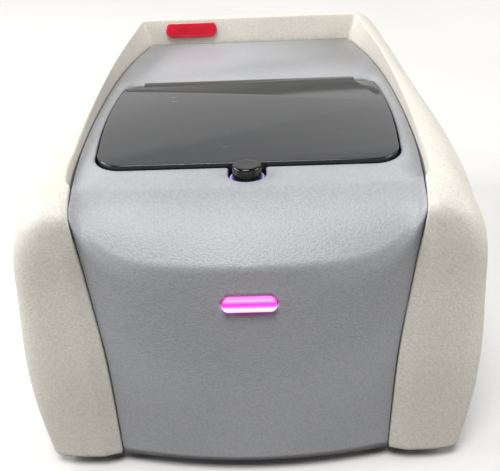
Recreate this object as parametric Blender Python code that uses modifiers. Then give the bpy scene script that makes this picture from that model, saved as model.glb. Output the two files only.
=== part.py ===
# Bench-top thermal cycler: a two-part casing on a steel base, a smoked lid over a cartridge bay,
# and the heating, optical, pneumatic and electrical pieces that such an instrument holds.
# Sizes are in millimetres and MM turns them into metres. The front faces -Y and +Z is up.
# The origin is the middle of the bounding box's bottom face.
from math import atan2, cos, pi, radians, sin

import bpy
import bmesh
from mathutils import Matrix, Vector

MM = 0.001

# ---------------------------------------------------------------- driving dimensions
HALF_WIDTH = 127.0
HALF_DEPTH = 196.5
HEIGHT = 165.0
WIDEST_Z = 107.0
SHELL_BOTTOM_Z = 7.5
DECK_Z = 145.0
SHELL_WALL = 3.0
PANEL_WALL = 2.6
GAP = 0.3
SEAM = 0.6

BULKHEAD_Y = 168.5        # foot of the wall behind the deck
RIM_Y = 176.0             # top inner edge of that wall
CREASE_Z = 119.0          # where the front face turns into the brow
CREASE_Y = -177.5
CREASE_LEVEL = 0.8        # how high up the casing's front edge the crease ends
CREASE_BEND = 6.0         # how late it turns up towards that end
BROW_Y = -136.5           # where the brow reaches the deck
FACE_FOOT_Z = 8.0

LID_FRONT_Y = -111.5      # the lid's opening in the deck
LID_REAR_Y = 50.5
LID_STRAIGHT_X = 71.0
LID_WAIST_Y = -8.5
LID_WAIST_X = 94.5
LID_CORNER_Y = -87.0
LID_REAR_RADIUS = 7.0

HINGE_Y = 40.5
HINGE_Z = 140.5
HINGE_PIN_R = 2.0
KNUCKLE_R = 3.5
WINDOW_REAR_Y = 34.0       # the wide part of the lid ends here and its tab goes on to the hinge

BUTTON_Y = -120.5
BUTTON_R = 8.0
BUTTON_TOP_Z = 150.5
NOTCH_R = 10.5
FLANGE_TOP_Z = 133.5
FLANGE_LOW_Z = 131.0

LIGHT_Z = 99.8
LIGHT_HALF = 14.0
LIGHT_R = 3.5

FOOT_X, FOOT_FRONT_Y, FOOT_REAR_Y, FOOT_R, FOOT_H = 94.0, -168.0, 160.0, 9.0, 7.2
TRAY_Z0, TRAY_Z1 = 7.5, 10.5

for old in list(bpy.data.objects):
    bpy.data.objects.remove(old, do_unlink=True)

scene_root = bpy.context.scene.collection
parts = bpy.data.collections.new("thermal_cycler")
tools = bpy.data.collections.new("thermal_cycler_cutters")
scene_root.children.link(parts)
scene_root.children.link(tools)


# ---------------------------------------------------------------- materials
def material(name, colour, roughness, metallic=0.0, alpha=1.0):
    found = bpy.data.materials.new(name)
    found.use_nodes = True
    shader = found.node_tree.nodes["Principled BSDF"]
    shader.inputs["Base Color"].default_value = (*colour, 1.0)
    shader.inputs["Roughness"].default_value = roughness
    shader.inputs["Metallic"].default_value = metallic
    shader.inputs["Alpha"].default_value = alpha
    return found


IVORY = material("ivory_moulding", (0.78, 0.75, 0.68), 0.55)
GREY = material("grey_moulding", (0.50, 0.52, 0.55), 0.55)
SMOKED = material("smoked_glass", (0.02, 0.02, 0.022), 0.08)
BLACK = material("black_plastic", (0.015, 0.015, 0.016), 0.4)
RED = material("red_enamel", (0.62, 0.02, 0.04), 0.15)
RUBBER = material("foot_rubber", (0.10, 0.085, 0.075), 0.8)
LAMP = material("lamp_lens", (0.95, 0.25, 0.80), 0.3)
STEEL = material("plated_steel", (0.62, 0.62, 0.63), 0.35, 1.0)
SPRING = material("spring_steel", (0.45, 0.45, 0.46), 0.3, 1.0)
ALUMINIUM = material("milled_aluminium", (0.72, 0.73, 0.74), 0.4, 1.0)
CERAMIC = material("white_ceramic", (0.85, 0.85, 0.83), 0.5)
BOARD = material("green_board", (0.02, 0.16, 0.06), 0.5)
GLASS = material("lens_glass", (0.05, 0.07, 0.09), 0.05)
CLEAR = material("frosted_lens", (0.80, 0.72, 0.90), 0.4)
SEAL = material("seal_rubber", (0.03, 0.03, 0.03), 0.75)
MAGNET = material("nickel_magnet", (0.70, 0.69, 0.67), 0.25, 1.0)


# ---------------------------------------------------------------- small makers
def add_object(name, mesh, skin, where=parts):
    made = bpy.data.objects.new(name, mesh)
    where.objects.link(made)
    if skin:
        mesh.materials.clear()
        mesh.materials.append(skin)
    return made


def axis_empty(name, at):
    """A guide on a joint's axis, which the pieces that turn about it are parented to."""
    made = bpy.data.objects.new(name, None)
    scene_root.objects.link(made)
    made.location = Vector(at) * MM
    return made


def hang_on(axis, *pieces):
    """Parents pieces to an axis and leaves them where they are."""
    for piece in pieces:
        piece.parent = axis
        piece.matrix_parent_inverse = Matrix.Translation(axis.location).inverted()


def as_tool(made):
    made.hide_render = True
    made.display_type = "WIRE"
    return made


def from_bmesh(name, bm, skin, where=parts):
    mesh = bpy.data.meshes.new(name)
    bm.to_mesh(mesh)
    bm.free()
    return add_object(name, mesh, skin, where)


def smooth(made, angle=35.0):
    made.data.shade_smooth()
    made.data.set_sharp_from_angle(angle=radians(angle))
    return made


def box(name, low, high, skin=None, bevel=0.0, where=parts):
    bm = bmesh.new()
    bmesh.ops.create_cube(bm, size=1.0)
    size = [(h - l) * MM for l, h in zip(low, high)]
    centre = Vector([(h + l) / 2 * MM for l, h in zip(low, high)])
    bmesh.ops.scale(bm, vec=size, verts=bm.verts)
    if bevel:
        bmesh.ops.bevel(bm, geom=bm.edges[:], offset=bevel * MM, segments=1,
                        profile=0.5, affect="EDGES", material=-1)
    made = from_bmesh(name, bm, skin, where)
    made.location = centre
    return made


AXIS_TURN = {
    "X": Matrix.Rotation(pi / 2, 4, "Y"),
    "Y": Matrix.Rotation(-pi / 2, 4, "X"),
    "Z": Matrix.Identity(4),
}


def cylinder(name, centre, radius, length, axis="Z", skin=None, where=parts, segments=20, top=None):
    bm = bmesh.new()
    bmesh.ops.create_cone(bm, cap_ends=True, segments=segments, radius1=radius * MM,
                          radius2=(radius if top is None else top) * MM, depth=length * MM)
    bmesh.ops.transform(bm, matrix=AXIS_TURN[axis], verts=bm.verts)
    made = from_bmesh(name, bm, skin, where)
    made.location = Vector(centre) * MM
    return smooth(made)


def turned(name, profile, at, skin, axis="Z", steps=24):
    """A closed solid of revolution; profile is (radius, height) from the top axis point down."""
    bm = bmesh.new()
    line = [bm.verts.new((r * MM, 0, h * MM)) for r, h in profile]
    for a, b in zip(line, line[1:]):
        bm.edges.new((a, b))
    made = from_bmesh(name, bm, skin)
    spin = made.modifiers.new("turn", "SCREW")
    spin.steps = spin.render_steps = steps
    spin.use_merge_vertices = True
    spin.merge_threshold = 0.00001
    made.matrix_world = Matrix.Translation(Vector(at) * MM) @ AXIS_TURN[axis]
    return made


def plate(name, outline, z0, z1, skin=None, where=parts, holes=()):
    """A flat outline in XY, extruded from z0 to z1; holes are further outlines."""
    curve = bpy.data.curves.new(name, "CURVE")
    curve.dimensions = "2D"
    curve.fill_mode = "BOTH"
    curve.extrude = (z1 - z0) / 2 * MM
    for ring in (outline, *holes):
        spline = curve.splines.new("POLY")
        spline.points.add(len(ring) - 1)
        for point, (x, y) in zip(spline.points, ring):
            point.co = (x * MM, y * MM, 0, 1)
        spline.use_cyclic_u = True
    guide = bpy.data.objects.new(name + "_outline", curve)
    scene_root.objects.link(guide)
    bpy.context.view_layer.update()
    mesh = bpy.data.meshes.new_from_object(guide.evaluated_get(bpy.context.evaluated_depsgraph_get()))
    bpy.data.objects.remove(guide, do_unlink=True)
    bm = bmesh.new()
    bm.from_mesh(mesh)
    bmesh.ops.remove_doubles(bm, verts=bm.verts, dist=0.000001)
    bmesh.ops.recalc_face_normals(bm, faces=bm.faces)
    bmesh.ops.dissolve_limit(bm, angle_limit=radians(0.5), verts=bm.verts, edges=bm.edges)
    bm.to_mesh(mesh)
    bm.free()
    made = add_object(name, mesh, skin, where)
    made.location = (0, 0, (z0 + z1) / 2 * MM)
    return made


def tube(name, points, radius, skin, resolution=2, cyclic=False):
    curve = bpy.data.curves.new(name, "CURVE")
    curve.dimensions = "3D"
    curve.bevel_depth = radius * MM
    curve.bevel_resolution = resolution
    curve.use_fill_caps = not cyclic
    spline = curve.splines.new("POLY")
    spline.points.add(len(points) - 1)
    for point, place in zip(spline.points, points):
        point.co = (*(Vector(place) * MM), 1)
    spline.use_cyclic_u = cyclic
    made = bpy.data.objects.new(name, curve)
    parts.objects.link(made)
    curve.materials.append(skin)
    return made


def combine(made, other, operation):
    step = made.modifiers.new(operation.lower(), "BOOLEAN")
    step.operation = operation
    step.solver = "EXACT"
    step.object = as_tool(other)
    return made


def cut(made, *cutters):
    for cutter in cutters:
        combine(made, cutter, "DIFFERENCE")
    return made


def weld_on(made, *others):
    for other in others:
        combine(made, other, "UNION")
    return made


def tool_box(name, low, high):
    return box(name, low, high, where=tools)


def tool_rod(name, centre, radius, length, axis="Z", segments=20):
    return cylinder(name, centre, radius, length, axis, where=tools, segments=segments)


# ---------------------------------------------------------------- shape formulas
def through(t, points):
    """A smooth curve through a few (t, value) points, without overshoot."""
    if t <= points[0][0]:
        return points[0][1]
    if t >= points[-1][0]:
        return points[-1][1]
    steps = [(b[1] - a[1]) / (b[0] - a[0]) for a, b in zip(points, points[1:])]
    slopes = [steps[0]]
    for before, after in zip(steps, steps[1:]):
        slopes.append(0.0 if before * after <= 0 else 2 * before * after / (before + after))
    slopes.append(steps[-1])
    i = max(k for k in range(len(steps)) if points[k][0] <= t)
    span = points[i + 1][0] - points[i][0]
    s = (t - points[i][0]) / span
    return ((2 * s**3 - 3 * s**2 + 1) * points[i][1] + (s**3 - 2 * s**2 + s) * span * slopes[i]
            + (3 * s**2 - 2 * s**3) * points[i + 1][1] + (s**3 - s**2) * span * slopes[i + 1])


def mix(a, b, t):
    return a + (b - a) * t


def ease(t):
    return t * t * (3 - 2 * t)


# The casing's outer skin. Level -1 is its bottom edge, 0 its widest line and 1 its top crest.
CREST_X = (
    (-140, 93.6), (-110, 97.9), (-90, 100.4), (-40, 102.4), (10, 103.0), (60, 102.2), (110, 99.5),
    (RIM_Y, 94.0),
)
CREST_Z = ((-140, 147.6), (-92, 149.6), (RIM_Y, HEIGHT))
SHOULDER_POWER = ((-150, 1.95), (-126, 2.4), (-111, 3.0), (-68, 3.0), (4, 2.3), (64, 2.0), (RIM_Y, 1.85))
LOWER_X = ((7.5, 113.0), (40, 122.0), (75, 126.3), (WIDEST_Z, HALF_WIDTH))
EDGE = (
    (-1.0, (74.0, -191.5, SHELL_BOTTOM_Z)),
    (-0.5, (77.5, -182.0, 57.0)),
    (0.0, (86.0, -168.0, WIDEST_Z)),
    (0.3, (89.3, -163.5, 127.0)),
    (0.6, (91.2, -159.0, 140.5)),
    (0.85, (92.6, -147.5, 146.4)),
    (1.0, (94.2, -134.0, 148.0)),
)
CORNER_END = ((-1.0, -184.0), (-0.5, -166.0), (0.0, -137.0), (0.5, -130.0), (1.0, -92.0))
CORNER_POWER = ((-1.0, 3.4), (-0.5, 3.0), (0.0, 4.2), (1.0, 2.0))
SIDE_END_Y = 150.0
REAR_START_X = 80.0
REAR_POWER = 5.0
DECK_X = (
    (-134, 94.2), (-101, 97.9), (-75, 100.0), (-20, 102.2), (20, 102.6), (60, 101.6), (105, 98.0),
    (BULKHEAD_Y, 87.5),
)


def edge_point(level):
    """The casing's front edge, beside the grey panel."""
    return [through(level, [(t, place[k]) for t, place in EDGE]) for k in range(3)]


def edge_inward(level):
    """Which way the front edge's lip turns in: back on the face, down on the deck."""
    turn = ease(min(max(level / 0.85, 0.0), 1.0)) * pi / 2
    return Vector((0, cos(turn), -sin(turn)))


def side_point(level, y):
    if level <= 0:
        z = mix(WIDEST_Z, SHELL_BOTTOM_Z, -level)
        return through(z, LOWER_X), z
    power = 2 / through(y, SHOULDER_POWER)
    x0, z1 = through(y, CREST_X), through(y, CREST_Z)
    turn = level * pi / 2
    out = max(cos(turn), 0.0) ** power if level < 1 else 0.0
    return x0 + (HALF_WIDTH - x0) * out, WIDEST_Z + (z1 - WIDEST_Z) * sin(turn) ** power


def rear_point(level):
    if level <= 0:
        z = mix(WIDEST_Z, SHELL_BOTTOM_Z, -level)
        return HALF_DEPTH - 0.25 * (HALF_WIDTH - through(z, LOWER_X)), z
    turn = level * pi / 2
    out = max(cos(turn), 0.0) ** (2 / REAR_POWER) if level < 1 else 0.0
    return RIM_Y + (HALF_DEPTH - RIM_Y) * out, WIDEST_Z + (HEIGHT - WIDEST_Z) * sin(turn) ** (2 / REAR_POWER)


def skin_row(level, corner, side, rear_corner, rear):
    """One line of the skin at a level, from the front edge round to the middle of the rear."""
    ex, ey, ez = edge_point(level)
    end_y = through(level, CORNER_END)
    sx, sz = side_point(level, end_y)
    power = 2 / through(level, CORNER_POWER)
    row = []
    for k in range(corner):
        t = k / corner
        across, back = sin(t * pi / 2) ** power, cos(t * pi / 2) ** power
        row.append((mix(ex, sx, across), mix(end_y, ey, back), mix(ez, sz, ease(t))))
    for k in range(side):
        y = mix(end_y, SIDE_END_Y, k / side)
        x, z = side_point(level, y)
        row.append((x, y, z))
    sx, sz = side_point(level, SIDE_END_Y)
    ry, rz = rear_point(level)
    power = 2 / mix(2.6, 9.0, max(level, 0.0) ** 3)
    for k in range(rear_corner):
        t = k / rear_corner
        row.append((REAR_START_X + (sx - REAR_START_X) * cos(t * pi / 2) ** power,
                    SIDE_END_Y + (ry - SIDE_END_Y) * sin(t * pi / 2) ** power, mix(sz, rz, ease(t))))
    for k in range(rear + 1):
        row.append((REAR_START_X * (1 - k / rear), ry, rz))
    return row


def inner_wall(row, corner):
    """The line where the crest's inner wall meets the deck, under each point of the crest."""
    low = []
    for x, y, _ in row:
        depth = 4.0 + max(min((row[0][1] - y) / -20.0, 1.0), 0.0)
        if y < RIM_Y - 1.0 and x > REAR_START_X:
            low.append((through(min(y, BULKHEAD_Y), DECK_X), min(y, BULKHEAD_Y), DECK_Z - depth))
        else:
            low.append((min(x, through(BULKHEAD_Y, DECK_X)), BULKHEAD_Y, DECK_Z - depth))
    return low


def surface(name, rows, skin, where=parts):
    """A loft between rows of points with the same count in each."""
    bm = bmesh.new()
    lines = [[bm.verts.new(Vector(p) * MM) for p in row] for row in rows]
    for low, high in zip(lines, lines[1:]):
        for k in range(len(low) - 1):
            bm.faces.new((low[k], low[k + 1], high[k + 1], high[k]))
    return from_bmesh(name, bm, skin, where)


def mirrored_shell(made, wall):
    flip = made.modifiers.new("other_half", "MIRROR")
    flip.merge_threshold = 0.00005
    wall_step = made.modifiers.new("wall", "SOLIDIFY")
    wall_step.thickness = wall * MM
    wall_step.offset = -1.0
    wall_step.use_even_offset = True
    return made


def lid_outline(inset=0.0, rear=None, steps=6):
    """The lid opening's outline, closed; rear cuts it straight across at that Y."""
    half = [(0.0, LID_FRONT_Y), (LID_STRAIGHT_X * 0.6, LID_FRONT_Y)]
    corner_x = side_of_lid(LID_CORNER_Y)
    for k in range(steps + 1):
        t = k / steps * pi / 2
        half.append((LID_STRAIGHT_X + (corner_x - LID_STRAIGHT_X) * sin(t),
                     LID_CORNER_Y - (LID_CORNER_Y - LID_FRONT_Y) * cos(t)))
    last_y = LID_REAR_Y - LID_REAR_RADIUS
    for k in range(1, steps + 1):
        y = mix(LID_CORNER_Y, last_y, k / steps)
        half.append((side_of_lid(y), y))
    centre_x = side_of_lid(last_y) - LID_REAR_RADIUS
    for k in range(1, 4):
        t = k / 3 * pi / 2
        half.append((centre_x + LID_REAR_RADIUS * cos(t), last_y + LID_REAR_RADIUS * sin(t)))
    ring = half + [(-x, y) for x, y in reversed(half) if x > 0]
    ring = moved_in(ring, inset)
    if rear is None:
        return ring
    kept = [p for p in ring if p[1] < rear - 1.0]
    right = max(kept, key=lambda p: (p[1], p[0]))[0]
    cut_at = next(k for k, p in enumerate(kept) if p[0] > 0 and p[0] == right)
    return kept[:cut_at + 1] + [(right, rear), (-right, rear)] + kept[cut_at + 1:]


def side_of_lid(y):
    return LID_WAIST_X - 2.6 * ((y - LID_WAIST_Y) / 57.0) ** 2


def moved_in(ring, inset):
    """A closed anticlockwise ring moved inwards along its normals."""
    if not inset:
        return ring
    out = []
    for k, here in enumerate(ring):
        before, after = Vector(ring[k - 1]), Vector(ring[(k + 1) % len(ring)])
        a, b = (Vector(here) - before).normalized(), (after - Vector(here)).normalized()
        normal = Vector((-(a + b).y, (a + b).x)).normalized()
        out.append(tuple(Vector(here) + normal * inset / max(0.5, normal.dot(Vector((-a.y, a.x))))))
    return out


def stadium(cx, cy, half, radius, steps=8):
    turns = [k / steps * pi for k in range(steps + 1)]
    ring = [(cx + half - radius + radius * sin(turn), cy - radius * cos(turn)) for turn in turns]
    return ring + [(2 * cx - x, 2 * cy - y) for x, y in ring]


# ---------------------------------------------------------------- outer shell
CORNER_STEPS, SIDE_STEPS, REAR_CORNER_STEPS, REAR_STEPS = 6, 6, 5, 1
LEVELS = (-1.0, -0.85, -0.6, -0.3, 0.0, 0.2, 0.4, 0.6, 0.78, 0.92, 1.0)


def outer_shell():
    rows = [skin_row(v, CORNER_STEPS, SIDE_STEPS, REAR_CORNER_STEPS, REAR_STEPS) for v in LEVELS]
    top = rows[-1]
    rows.append(inner_wall(top, CORNER_STEPS))
    lip = []
    for level, row in zip(LEVELS, rows):
        lip.append(tuple(Vector(row[0]) + edge_inward(level) * 8.0))
    lip.append(rows[-1][0])
    rows[-1][0] = lip[-2]
    rows = [[lip[k]] + row if k < len(LEVELS) else row for k, row in enumerate(rows)]
    bm = bmesh.new()
    lines = [[bm.verts.new(Vector(p) * MM) for p in row] for row in rows[:-1]]
    low_wall = [lines[-1][0]] + [bm.verts.new(Vector(p) * MM) for p in rows[-1][1:]]
    for low, high in zip(lines, lines[1:]):
        for k in range(len(low) - 1):
            bm.faces.new((low[k], low[k + 1], high[k + 1], high[k]))
    crest = lines[-1][1:]
    for k in range(len(crest) - 1):
        bm.faces.new((crest[k], crest[k + 1], low_wall[k + 1], low_wall[k]))
    made = mirrored_shell(from_bmesh("outer_shell", bm, IVORY), SHELL_WALL)
    cut(made, tool_box("rear_window", (-78, 180, 16), (78, 210, 100)))
    return made


# ---------------------------------------------------------------- grey panel: face, brow and deck
FACE_ROWS, BROW_ROWS, ACROSS = 6, 6, 9
LIGHT_FACE_Y = mix(-HALF_DEPTH, CREASE_Y, (LIGHT_Z - FACE_FOOT_Z) / (CREASE_Z - FACE_FOOT_Z))
DECK_ROWS_Y = (-112.0, -80.0, -40.0, 0.0, 40.0, 75.0, 110.0, 140.0, BULKHEAD_Y - SEAM)


def brow_profile(t):
    """How far the brow has risen, from the crease at 0 to the deck at 1."""
    return 1 - (1 - t) ** 1.35


def panel_edge(level):
    place = Vector(edge_point(level)) + edge_inward(level) * 4.2
    return Vector((place.x - SEAM, place.y, place.z))


def panel_row(centre, edge, bend):
    """Points from the middle to the edge; bend is how late the row turns towards its edge."""
    row = []
    for k in range(ACROSS + 1):
        u = k / ACROSS
        lift = u**bend
        round_plan = 0.45 * u**2 + 0.55 * u**bend
        row.append((edge[0] * u, mix(centre[0], edge[1], round_plan), mix(centre[1], edge[2], lift)))
    return row


def top_panel():
    rows = []
    for k in range(FACE_ROWS + 1):
        t = k / FACE_ROWS
        centre = (mix(-HALF_DEPTH, CREASE_Y, t), mix(FACE_FOOT_Z, CREASE_Z, t))
        rows.append(panel_row(centre, panel_edge(mix(-1.0, CREASE_LEVEL, t)), mix(2.0, CREASE_BEND, t)))
    for k in range(1, BROW_ROWS + 1):
        t = k / BROW_ROWS
        centre = (mix(CREASE_Y, BROW_Y, t), mix(CREASE_Z, DECK_Z, brow_profile(t)))
        edge = panel_edge(mix(CREASE_LEVEL, 1.0, t))
        edge.z = min(edge.z, DECK_Z)
        rows.append(panel_row(centre, edge, CREASE_BEND))
    for y in DECK_ROWS_Y:
        half = through(y, DECK_X) - SEAM
        rows.append([(half * k / ACROSS, y, DECK_Z) for k in range(ACROSS + 1)])
    made = surface("top_panel", rows, GREY)
    mirrored_shell(made, PANEL_WALL)
    z0, z1 = DECK_Z - 12, DECK_Z + 8
    opening = plate("lid_opening", lid_outline(), z0, z1, where=tools)
    notch_run = tool_box("notch_run", (-NOTCH_R, BUTTON_Y, z0), (NOTCH_R, LID_FRONT_Y + 4, z1))
    notch = tool_rod("notch_end", (0, BUTTON_Y, DECK_Z - 2), NOTCH_R, 20, segments=32)
    slot = plate("light_slot", stadium(0, LIGHT_Z, LIGHT_HALF + 0.5, LIGHT_R + 0.5), -9, 9, where=tools)
    slot.rotation_euler = (pi / 2, 0, 0)
    slot.location = (0, LIGHT_FACE_Y * MM, 0)
    return cut(made, opening, notch_run, notch, slot)


# ---------------------------------------------------------------- base, feet and rear panel
TRAY_X, TRAY_FRONT_Y, TRAY_REAR_Y, TRAY_CORNER = 104.0, -178.0, 183.0, 18.0
REAR_PANEL_Y0, REAR_PANEL_Y1 = 187.0, 189.0
REAR_PANEL_X, REAR_PANEL_Z0, REAR_PANEL_Z1 = 82.0, 12.0, 104.0
INLET_X, SWITCH_X, PORT_X, PORT_Z = 56.0, 22.0, (20.0, 44.0), 78.0
SERVICE_Z = 40.0
INLET_HALF_X, INLET_HALF_Z = 14.0, 12.0
SWITCH_HALF_X, SWITCH_HALF_Z = 7.0, 11.0
PORT_HALF_X, PORT_HALF_Z = 8.0, 7.0
FAN_X, FAN_Z, FAN_SIZE, FAN_Y0, FAN_Y1 = -42.0, 56.0, 60.0, 163.4, 186.4
FITTING_Y0, FITTING_Y1 = 166.0, 191.0
ROCKER_Y = 185.0
SCREW_X, SCREW_Y = 84.0, (-140.0, 45.0)


def rounded(x0, y0, x1, y1, radius, steps=4):
    ring = []
    for cx, cy, start in ((x1 - radius, y0 + radius, -pi / 2), (x1 - radius, y1 - radius, 0),
                          (x0 + radius, y1 - radius, pi / 2), (x0 + radius, y0 + radius, pi)):
        for k in range(steps + 1):
            turn = start + k / steps * pi / 2
            ring.append((cx + radius * cos(turn), cy + radius * sin(turn)))
    return ring


def base_and_feet():
    outline = rounded(-TRAY_X, TRAY_FRONT_Y, TRAY_X, TRAY_REAR_Y, TRAY_CORNER)
    tray = plate("base_tray", outline, TRAY_Z0, TRAY_Z1, STEEL)
    for side in (-1, 1):
        for k in range(4):
            y = -60 + 22 * k
            cut(tray, tool_box("floor_vent", (side * 60 - 20, y, 0), (side * 60 + 20, y + 4, 20)))
    corners = (("front_left", -1, FOOT_FRONT_Y), ("front_right", 1, FOOT_FRONT_Y),
               ("rear_left", -1, FOOT_REAR_Y), ("rear_right", 1, FOOT_REAR_Y))
    for name, side, y in corners:
        turned("foot_" + name, ((0, FOOT_H), (FOOT_R, FOOT_H), (FOOT_R, 1.2), (FOOT_R - 1.2, 0), (0, 0)),
               (side * FOOT_X, y, 0), RUBBER, steps=20)
    screw = ((0, 14), (1.4, 14), (1.4, 7.2), (3.4, 7.2), (3.4, 5.6), (2.4, 5.0), (0, 5.0))
    places = [(side * SCREW_X, y) for side in (-1, 1) for y in SCREW_Y]
    for count, (x, y) in enumerate(places, start=1):
        cut(tray, tool_rod("screw_hole", (x, y, 9), 1.8, 10, segments=12))
        turned(f"base_screw_{count}", screw, (x, y, 0), STEEL, steps=12)


def panel_cut(name, x, z, half_x, half_z):
    y0, y1 = REAR_PANEL_Y0 - 5, REAR_PANEL_Y1 + 5
    return tool_box(name, (x - half_x, y0, z - half_z), (x + half_x, y1, z + half_z))


def rear_panel():
    low, high = (-REAR_PANEL_X, REAR_PANEL_Y0, REAR_PANEL_Z0), (REAR_PANEL_X, REAR_PANEL_Y1, REAR_PANEL_Z1)
    made = box("rear_panel", low, high, STEEL)
    cut(made, panel_cut("inlet_cut", INLET_X, SERVICE_Z, INLET_HALF_X + GAP, INLET_HALF_Z + GAP),
        panel_cut("switch_cut", SWITCH_X, SERVICE_Z, SWITCH_HALF_X + GAP, SWITCH_HALF_Z + GAP))
    for x in PORT_X:
        cut(made, panel_cut("port_cut", x, PORT_Z, PORT_HALF_X + GAP, PORT_HALF_Z + GAP))
    for k in range(7):
        cut(made, panel_cut("fan_vent", FAN_X - 24 + 8 * k, FAN_Z, 2, 24))


def fitting(name, x, z, half_x, half_z, y0, y1):
    return box(name, (x - half_x, y0, z - half_z), (x + half_x, y1, z + half_z), BLACK)


def well(name, x, z, half_x, half_z, y0):
    return tool_box(name, (x - half_x, y0, z - half_z), (x + half_x, FITTING_Y1 + 9, z + half_z))


def rear_fittings():
    z, y0, y1 = SERVICE_Z, FITTING_Y0, FITTING_Y1
    inlet = fitting("power_inlet", INLET_X, z, INLET_HALF_X, INLET_HALF_Z, y0, y1)
    cut(inlet, well("inlet_well", INLET_X, z, 11.5, 8.0, y0 + 7))
    for dx, dz in ((-7, -2), (0, 3), (7, -2)):
        x = INLET_X + dx
        weld_on(inlet, tool_box("inlet_pin", (x - 2, y0 + 5, z + dz - 1), (x + 2, y0 + 15, z + dz + 1)))
    frame = fitting("switch_frame", SWITCH_X, z, SWITCH_HALF_X, SWITCH_HALF_Z, y0 + 3, y1)
    cut(frame, well("switch_well", SWITCH_X, z, 5.0, 9.6, y0 + 8))
    for name, x in zip(("network_port", "data_port"), PORT_X):
        port = fitting(name, x, PORT_Z, PORT_HALF_X, PORT_HALF_Z, y0 + 4, y1 - 0.5)
        cut(port, well("port_well", x, PORT_Z, 6.2, 5.2, y0 + 10))


def power_rocker():
    axis = axis_empty("rocker_axis", (SWITCH_X, ROCKER_Y, SERVICE_Z))
    outline = ((-4.0, -3.0), (0, -7.2), (6.2, -7.6), (6.4, 0), (9.4, 7.0), (0, 7.2), (-4.0, 3.0))
    rocker = plate("power_rocker", outline, -4.6, 4.6, BLACK)
    rocker.parent = axis
    rocker.rotation_euler = (pi / 2, 0, pi / 2)


def cooling_fan():
    half, x, z = FAN_SIZE / 2, FAN_X, FAN_Z
    frame = box("fan_frame", (x - half, FAN_Y0, z - half), (x + half, FAN_Y1, z + half), BLACK)
    cut(frame, tool_rod("fan_bore", (x, (FAN_Y0 + FAN_Y1) / 2, z), half - 2.5, 60, "Y", 32))
    for across, up in ((half - 1, 1.5), (1.5, half - 1)):
        weld_on(frame, tool_box("fan_strut", (x - across, FAN_Y0, z - up), (x + across, FAN_Y0 + 3, z + up)))
    weld_on(frame, tool_rod("fan_seat", (x, FAN_Y0 + 2.5, z), 11, 5, "Y"))
    rotor = cylinder("fan_rotor", (x, FAN_Y0 + 13, z), 11, 14, "Y", BLACK)
    for k in range(7):
        blade = box("fan_blade", (-2 + 9.5, -6, -0.7), (half - 5, 6, 0.7), where=tools)
        hub = Matrix.Translation(Vector((x, FAN_Y0 + 13, z)) * MM) @ Matrix.Rotation(2 * pi * k / 7, 4, "Y")
        blade.matrix_world = hub @ Matrix.Translation(blade.location) @ Matrix.Rotation(radians(35), 4, "X")
        weld_on(rotor, blade)


# ---------------------------------------------------------------- lid
WINDOW_Z0, WINDOW_Z1 = 142.7, 147.2
STRIP_X, STRIP_Z0, STRIP_REAR_Y = 78.0, 144.4, 46.0
FRAME_Z0, FRAME_Z1 = 138.0, 142.4
SEAL_Z1 = 137.7
ARM_X0, ARM_X1 = 40.0, 60.0
LID_GAP = 1.5


def lid_pieces():
    window = plate("lid_window", lid_outline(LID_GAP, WINDOW_REAR_Y), WINDOW_Z0, WINDOW_Z1, SMOKED)
    edge = window.modifiers.new("soft_edge", "BEVEL")
    edge.width = 0.8 * MM
    edge.segments = 1
    edge.limit_method = "ANGLE"
    edge.angle_limit = radians(60)
    low, high = (-STRIP_X, WINDOW_REAR_Y + GAP, STRIP_Z0), (STRIP_X, STRIP_REAR_Y, WINDOW_Z1)
    strip = box("lid_hinge_strip", low, high, BLACK)
    frame = plate("lid_frame", lid_outline(LID_GAP + 1.5, WINDOW_REAR_Y - 0.5), FRAME_Z0, FRAME_Z1, BLACK)
    cut(frame, plate("frame_window", rounded(-74, -94, 74, 22, 8), FRAME_Z0 - 5, FRAME_Z1 + 5, where=tools))
    for side in (-1, 1):
        x0, x1 = sorted((side * ARM_X0, side * ARM_X1))
        arm = tool_box("hinge_arm", (x0, 30, FRAME_Z0 + 0.4), (x1, HINGE_Y, FRAME_Z1 - 0.4))
        knuckle = tool_rod("hinge_knuckle", ((x0 + x1) / 2, HINGE_Y, HINGE_Z), KNUCKLE_R, x1 - x0, "X", 16)
        weld_on(frame, arm, knuckle)
    cut(frame, tool_rod("hinge_bore", (0, HINGE_Y, HINGE_Z), HINGE_PIN_R + GAP, 140, "X", 16))
    seal_outer, seal_inner = rounded(-88, -103.5, 88, 30, 10), rounded(-82, -97.5, 82, 24, 6)
    seal = plate("lid_seal", seal_outer, FLANGE_TOP_Z + GAP, SEAL_Z1, SEAL, holes=(seal_inner,))
    catch = box("lid_catch_plate", (-18, -108.0, SEAL_Z1 - 0.8), (18, -104.2, SEAL_Z1), STEEL)
    hang_on(axis_empty("lid_axis", (0, HINGE_Y, HINGE_Z)), window, strip, frame, seal, catch)


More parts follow.
